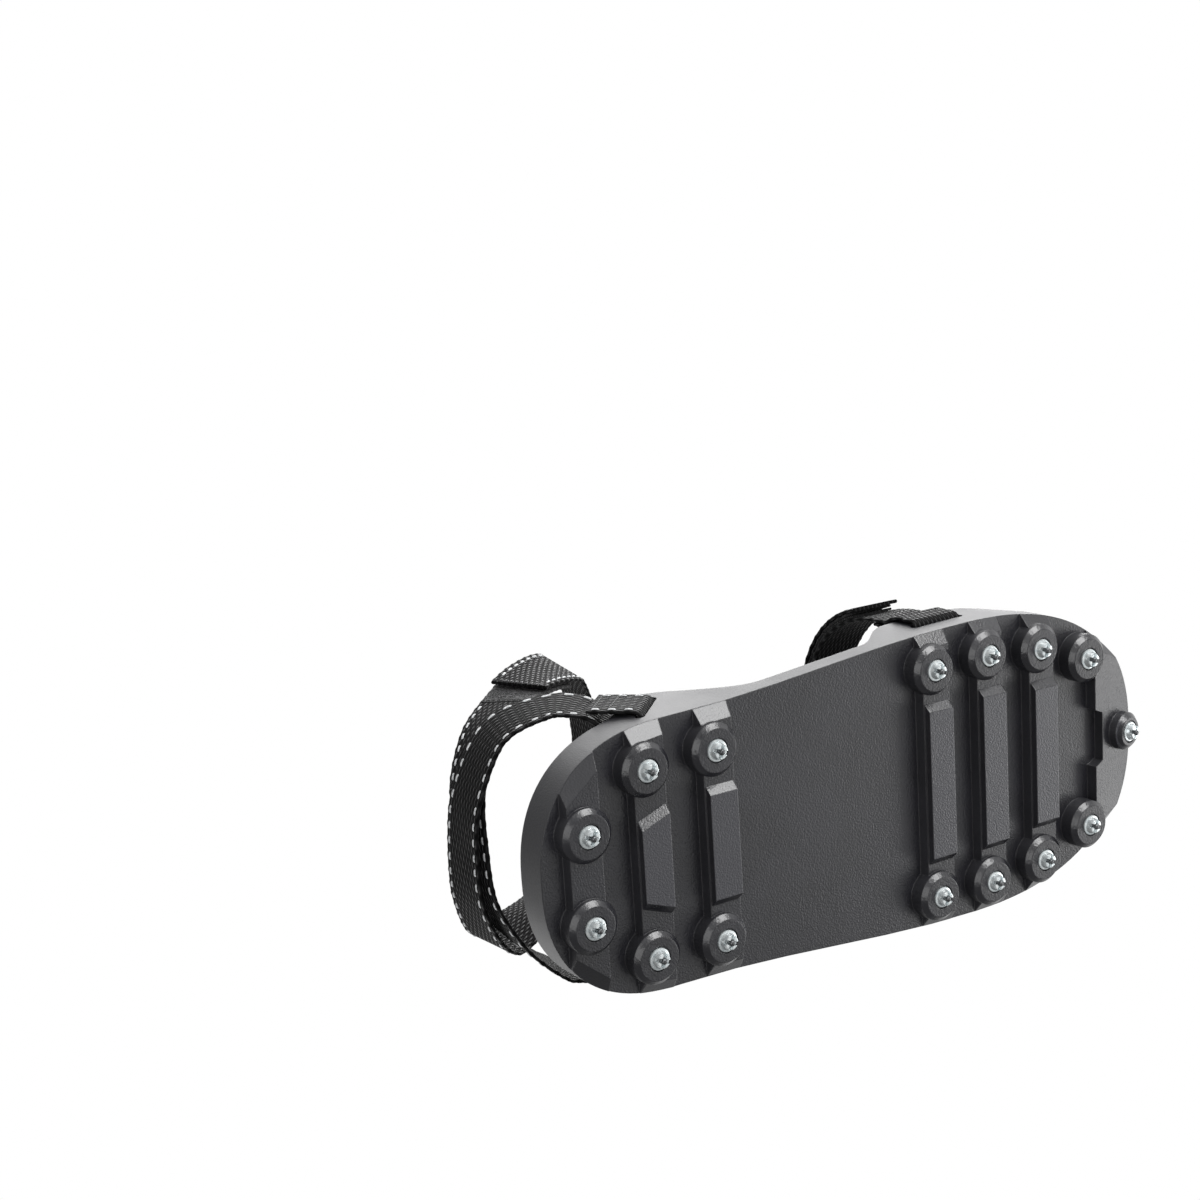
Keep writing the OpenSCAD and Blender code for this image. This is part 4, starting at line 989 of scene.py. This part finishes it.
def heelPieces():
    # on each side the loop round the ear, with the start of the strap, its stitches and its seams
    for side, word, route in ((-1, "Lateral", outerRoute), (1, "Medial", innerRoute)):
        points, out = heelLoop(side)
        onward = spline(route, np.linspace(closing["loopFrom"], closing["join"], 24))
        ways = squareOut(onward)
        tab, sewn, leg = heel["tabPoints"], heel["seamPoints"], heel["legPoints"]
        pieces = (
            strapPiece("heelLoop" + word, np.concatenate([points, onward]), np.concatenate([out, -ways]),
                       webbing),
            stitchPiece(f"heelTab{word}Stitches", points[:tab], out[:tab]),
            seamPiece(f"heelTab{word}Seams", points[:sewn], out[:sewn], seam["tabRows"]),
            stitchPiece(f"heelLeg{word}Stitches", np.concatenate([points[-leg:], onward]),
                        np.concatenate([-out[-leg:], ways])))
        foldsFrom("tray", "ankle_strap", np.array([0, yAt(swingStation), swingZ]), heel["fold"] * earWay,
                  pieces, "heel_loop_" + word.lower())


def anklePieces():
    # the inner strap, the outer strap round the ankle, its tail, and the patches that close it
    at = closing
    inner = innerStretch(at["join"], at["innerEnd"], 240)
    pieces = (strapPiece("ankleInner", *inner, webbing),
              stitchPiece("ankleInnerStitches", *inner, skipEnd=closingWeb["innerBare"]))
    ridesOn("ankle_strap", "webbing", pieces, "heel_strap_medial")

    route = np.concatenate([outerRoute, innerLifted(np.array([at["tailFrom"], at["peel"]]))])
    outer = spline(route, np.linspace(at["join"], len(route) - 2, 520))
    ways = squareOut(outer)
    pieces = strapPiece("ankleOuter", outer, ways, webbing), stitchPiece("ankleOuterStitches", outer, ways)
    ridesOn("ankle_strap", "webbing", pieces, "heel_strap_lateral")

    tail = innerLifted(np.linspace(at["tailFrom"], at["tailEnd"], 120))
    ways = squareOut(tail)
    length = float(np.sum(np.linalg.norm(np.diff(tail, axis=0), axis=1)))
    pieces = (strapPiece("ankleTail", tail, ways, webbing),
              stitchPiece("ankleTailStitches", tail, ways, skipEnd=closingWeb["tailBare"]),
              seamPiece("ankleTailSeam", tail, ways, (length - seam["fromEnd"],), greyThread))
    before, middle, after = innerLifted(at["peel"] + at["nearPeel"] * np.array([1, 0, -1]))
    foldsFrom("ankle_strap", "ankle_tail", middle, closingWeb["fold"] * unit(after - before), pieces,
              "ankle_strap_tail")

    under = innerStretch(at["tailEnd"] + at["hookInset"], at["patchEnd"], 60)
    hook = strapPiece("ankleHook", *under, hookPile, web["width"] - web["patchMargin"],
                      web["patch"] - web["patchPlay"], tailLift - halfThick - web["patch"] / 2)
    ridesOn("ankle_tail", "pile", [hook], "ankle_hook_patch")
    end = innerStretch(at["innerEnd"] - at["loopLap"], at["patchEnd"], 70)
    pad = strapPiece("ankleLoop", *end, loopPile, web["width"] - closingWeb["loopMargin"],
                     web["thick"] + closingWeb["loopOver"])
    shown = innerStretch(at["innerEnd"] - at["fuzzLap"], at["tailEnd"] - at["fuzzInset"], 40)
    ridesOn("ankle_strap", "pile", (pad, fuzzPiece("ankleLoopFibres", *shown)), "ankle_loop_patch")


heelPieces()
anklePieces()
print("ankle straps ready")


# Stage: a pale floor seen from above only, white surroundings, soft lamps and the camera

stageLook = {"floor": 4.0, "floorDrop": 0.0001, "floorColor": (0.86, 0.86, 0.86), "fadeFrom": 0.3,
             "fadeTo": 1.0, "ambient": 0.3, "mirrorBelow": 0.2, "mirrorAbove": 1.2, "mirrorFrom": -0.2,
             "mirrorTo": 1.0, "brightSide": (-0.3, -0.7, 0.65)}


def mixShaders(tree, factor, first, second):
    # the second shader in place of the first by a factor
    feeds = {0: factor, 1: first.outputs[0], 2: second.outputs[0]}
    return nodeIn(tree, "ShaderNodeMixShader", feeds)


def floorPiece():
    # a square just under the points: pale to the camera from above, fading with distance, and clear otherwise
    look = stageLook
    half, z = look["floor"] / 2 / mm, -look["floorDrop"] / mm
    corners = np.array([[-half, -half, z], [half, -half, z], [half, half, z], [-half, half, z]])
    material = bpy.data.materials.new("paleFloor")
    material.use_nodes = True
    tree = material.node_tree
    tree.nodes.clear()
    below = nodeIn(tree, "ShaderNodeNewGeometry").outputs["Backfacing"]
    place = nodeIn(tree, "ShaderNodeTexCoord").outputs["Object"]
    far = vectorIn(tree, "LENGTH", place)
    fade = span(tree, far, 0, 1, look["fadeTo"], look["fadeFrom"], interpolation_type="SMOOTHSTEP")
    near = mathIn(tree, "MULTIPLY", mathIn(tree, "SUBTRACT", 1.0, below), fade)
    seen = mathIn(tree, "MULTIPLY", nodeIn(tree, "ShaderNodeLightPath").outputs["Is Camera Ray"], near)
    clear = nodeIn(tree, "ShaderNodeBsdfTransparent")
    pale = nodeIn(tree, "ShaderNodeBsdfDiffuse", {"Color": (*look["floorColor"], 1)})
    shown = mixShaders(tree, seen, clear, pale)
    nodeIn(tree, "ShaderNodeOutputMaterial", {"Surface": shown.outputs[0]})
    makePiece("floor", corners, [[0, 1, 2, 3]], material, recalc=False)


def whiteWorld():
    # white to look at; mirrored surfaces see it dimmer away from the bright side; soft even light on the rest
    look = stageLook
    world = bpy.data.worlds.new("whiteRoom")
    scene.world = world
    world.use_nodes = True
    tree = world.node_tree
    tree.nodes.clear()
    rays = nodeIn(tree, "ShaderNodeLightPath").outputs
    way = nodeIn(tree, "ShaderNodeTexCoord").outputs["Generated"]
    towards = vectorIn(tree, "DOT_PRODUCT", way, look["brightSide"])
    level = span(tree, towards, look["mirrorBelow"], look["mirrorAbove"], look["mirrorFrom"],
                 look["mirrorTo"], interpolation_type="SMOOTHSTEP")
    back, mirror, ambient = (
        nodeIn(tree, "ShaderNodeBackground", {"Color": (1, 1, 1, 1), "Strength": strength})
        for strength in (1.0, level, look["ambient"]))
    shiny = mathIn(tree, "MAXIMUM", rays["Is Glossy Ray"], rays["Is Transmission Ray"])
    lit = mixShaders(tree, shiny, ambient, mirror)
    seen = mixShaders(tree, rays["Is Camera Ray"], lit, back)
    nodeIn(tree, "ShaderNodeOutputWorld", {"Surface": seen.outputs[0]})


lamps = {  # place and aim in metres, watts, size in metres
    "sideBox": {"place": (-0.86, -0.32, -0.46), "aim": (0, 0, 0.02), "watts": 8.8, "size": 0.6},
    "backBox": {"place": (-0.78, 0.22, -0.66), "aim": (0, 0.05, 0.02), "watts": 0.7, "size": 0.6},
    "toeBox": {"place": (0.28, -1.0, -0.42), "aim": (0, -0.1, 0.02), "watts": 2.2, "size": 0.5},
    "lowFill": {"place": (0.25, -0.55, -0.85), "aim": (0, 0, 0.01), "watts": 1.0, "size": 0.8},
    "cameraFill": {"place": (-0.25, 0.85, -0.75), "aim": (0, 0, 0.02), "watts": 4.5, "size": 0.9},
    "keyAbove": {"place": (-0.42, -0.78, 1.05), "aim": (0, 0, 0.03), "watts": 9.2, "size": 0.8},
    "heelAbove": {"place": (-0.80, -0.08, 1.05), "aim": (0, 0.05, 0.03), "watts": 5.5, "size": 0.6},
    "fillAbove": {"place": (0.9, 0.5, 0.8), "aim": (0, 0, 0.06), "watts": 4, "size": 0.9},
}


def lampPieces():
    # square lamps, each turned so that its own -z points from its place to its aim
    for name, lamp in lamps.items():
        data = bpy.data.lights.new(name, "AREA")
        data.energy = lamp["watts"]
        data.size = lamp["size"]
        thing = placed(name, data)
        thing.location = lamp["place"]
        x, y, z = unit(np.array(lamp["aim"], float) - np.array(lamp["place"], float))
        thing.rotation_euler = (math.acos(-z), 0, math.atan2(-x, y))


photoCamera = {"lens": 58.1, "sensor": 36, "nearest": 0.01, "place": (-0.2508, 0.4862, -0.5825),
               "turn": (170.447, 32.323, -85.627)}


def cameraPiece():
    # the photograph's viewpoint, with turns in degrees
    data = bpy.data.cameras.new("photoCamera")
    data.sensor_width = photoCamera["sensor"]
    data.lens = photoCamera["lens"]
    data.clip_start = photoCamera["nearest"]
    thing = placed("photoCamera", data)
    thing.location = photoCamera["place"]
    thing.rotation_euler = [math.radians(a) for a in photoCamera["turn"]]
    scene.camera = thing


floorPiece()
whiteWorld()
lampPieces()
cameraPiece()
scene.view_settings.view_transform = "Standard"
print("stage ready")
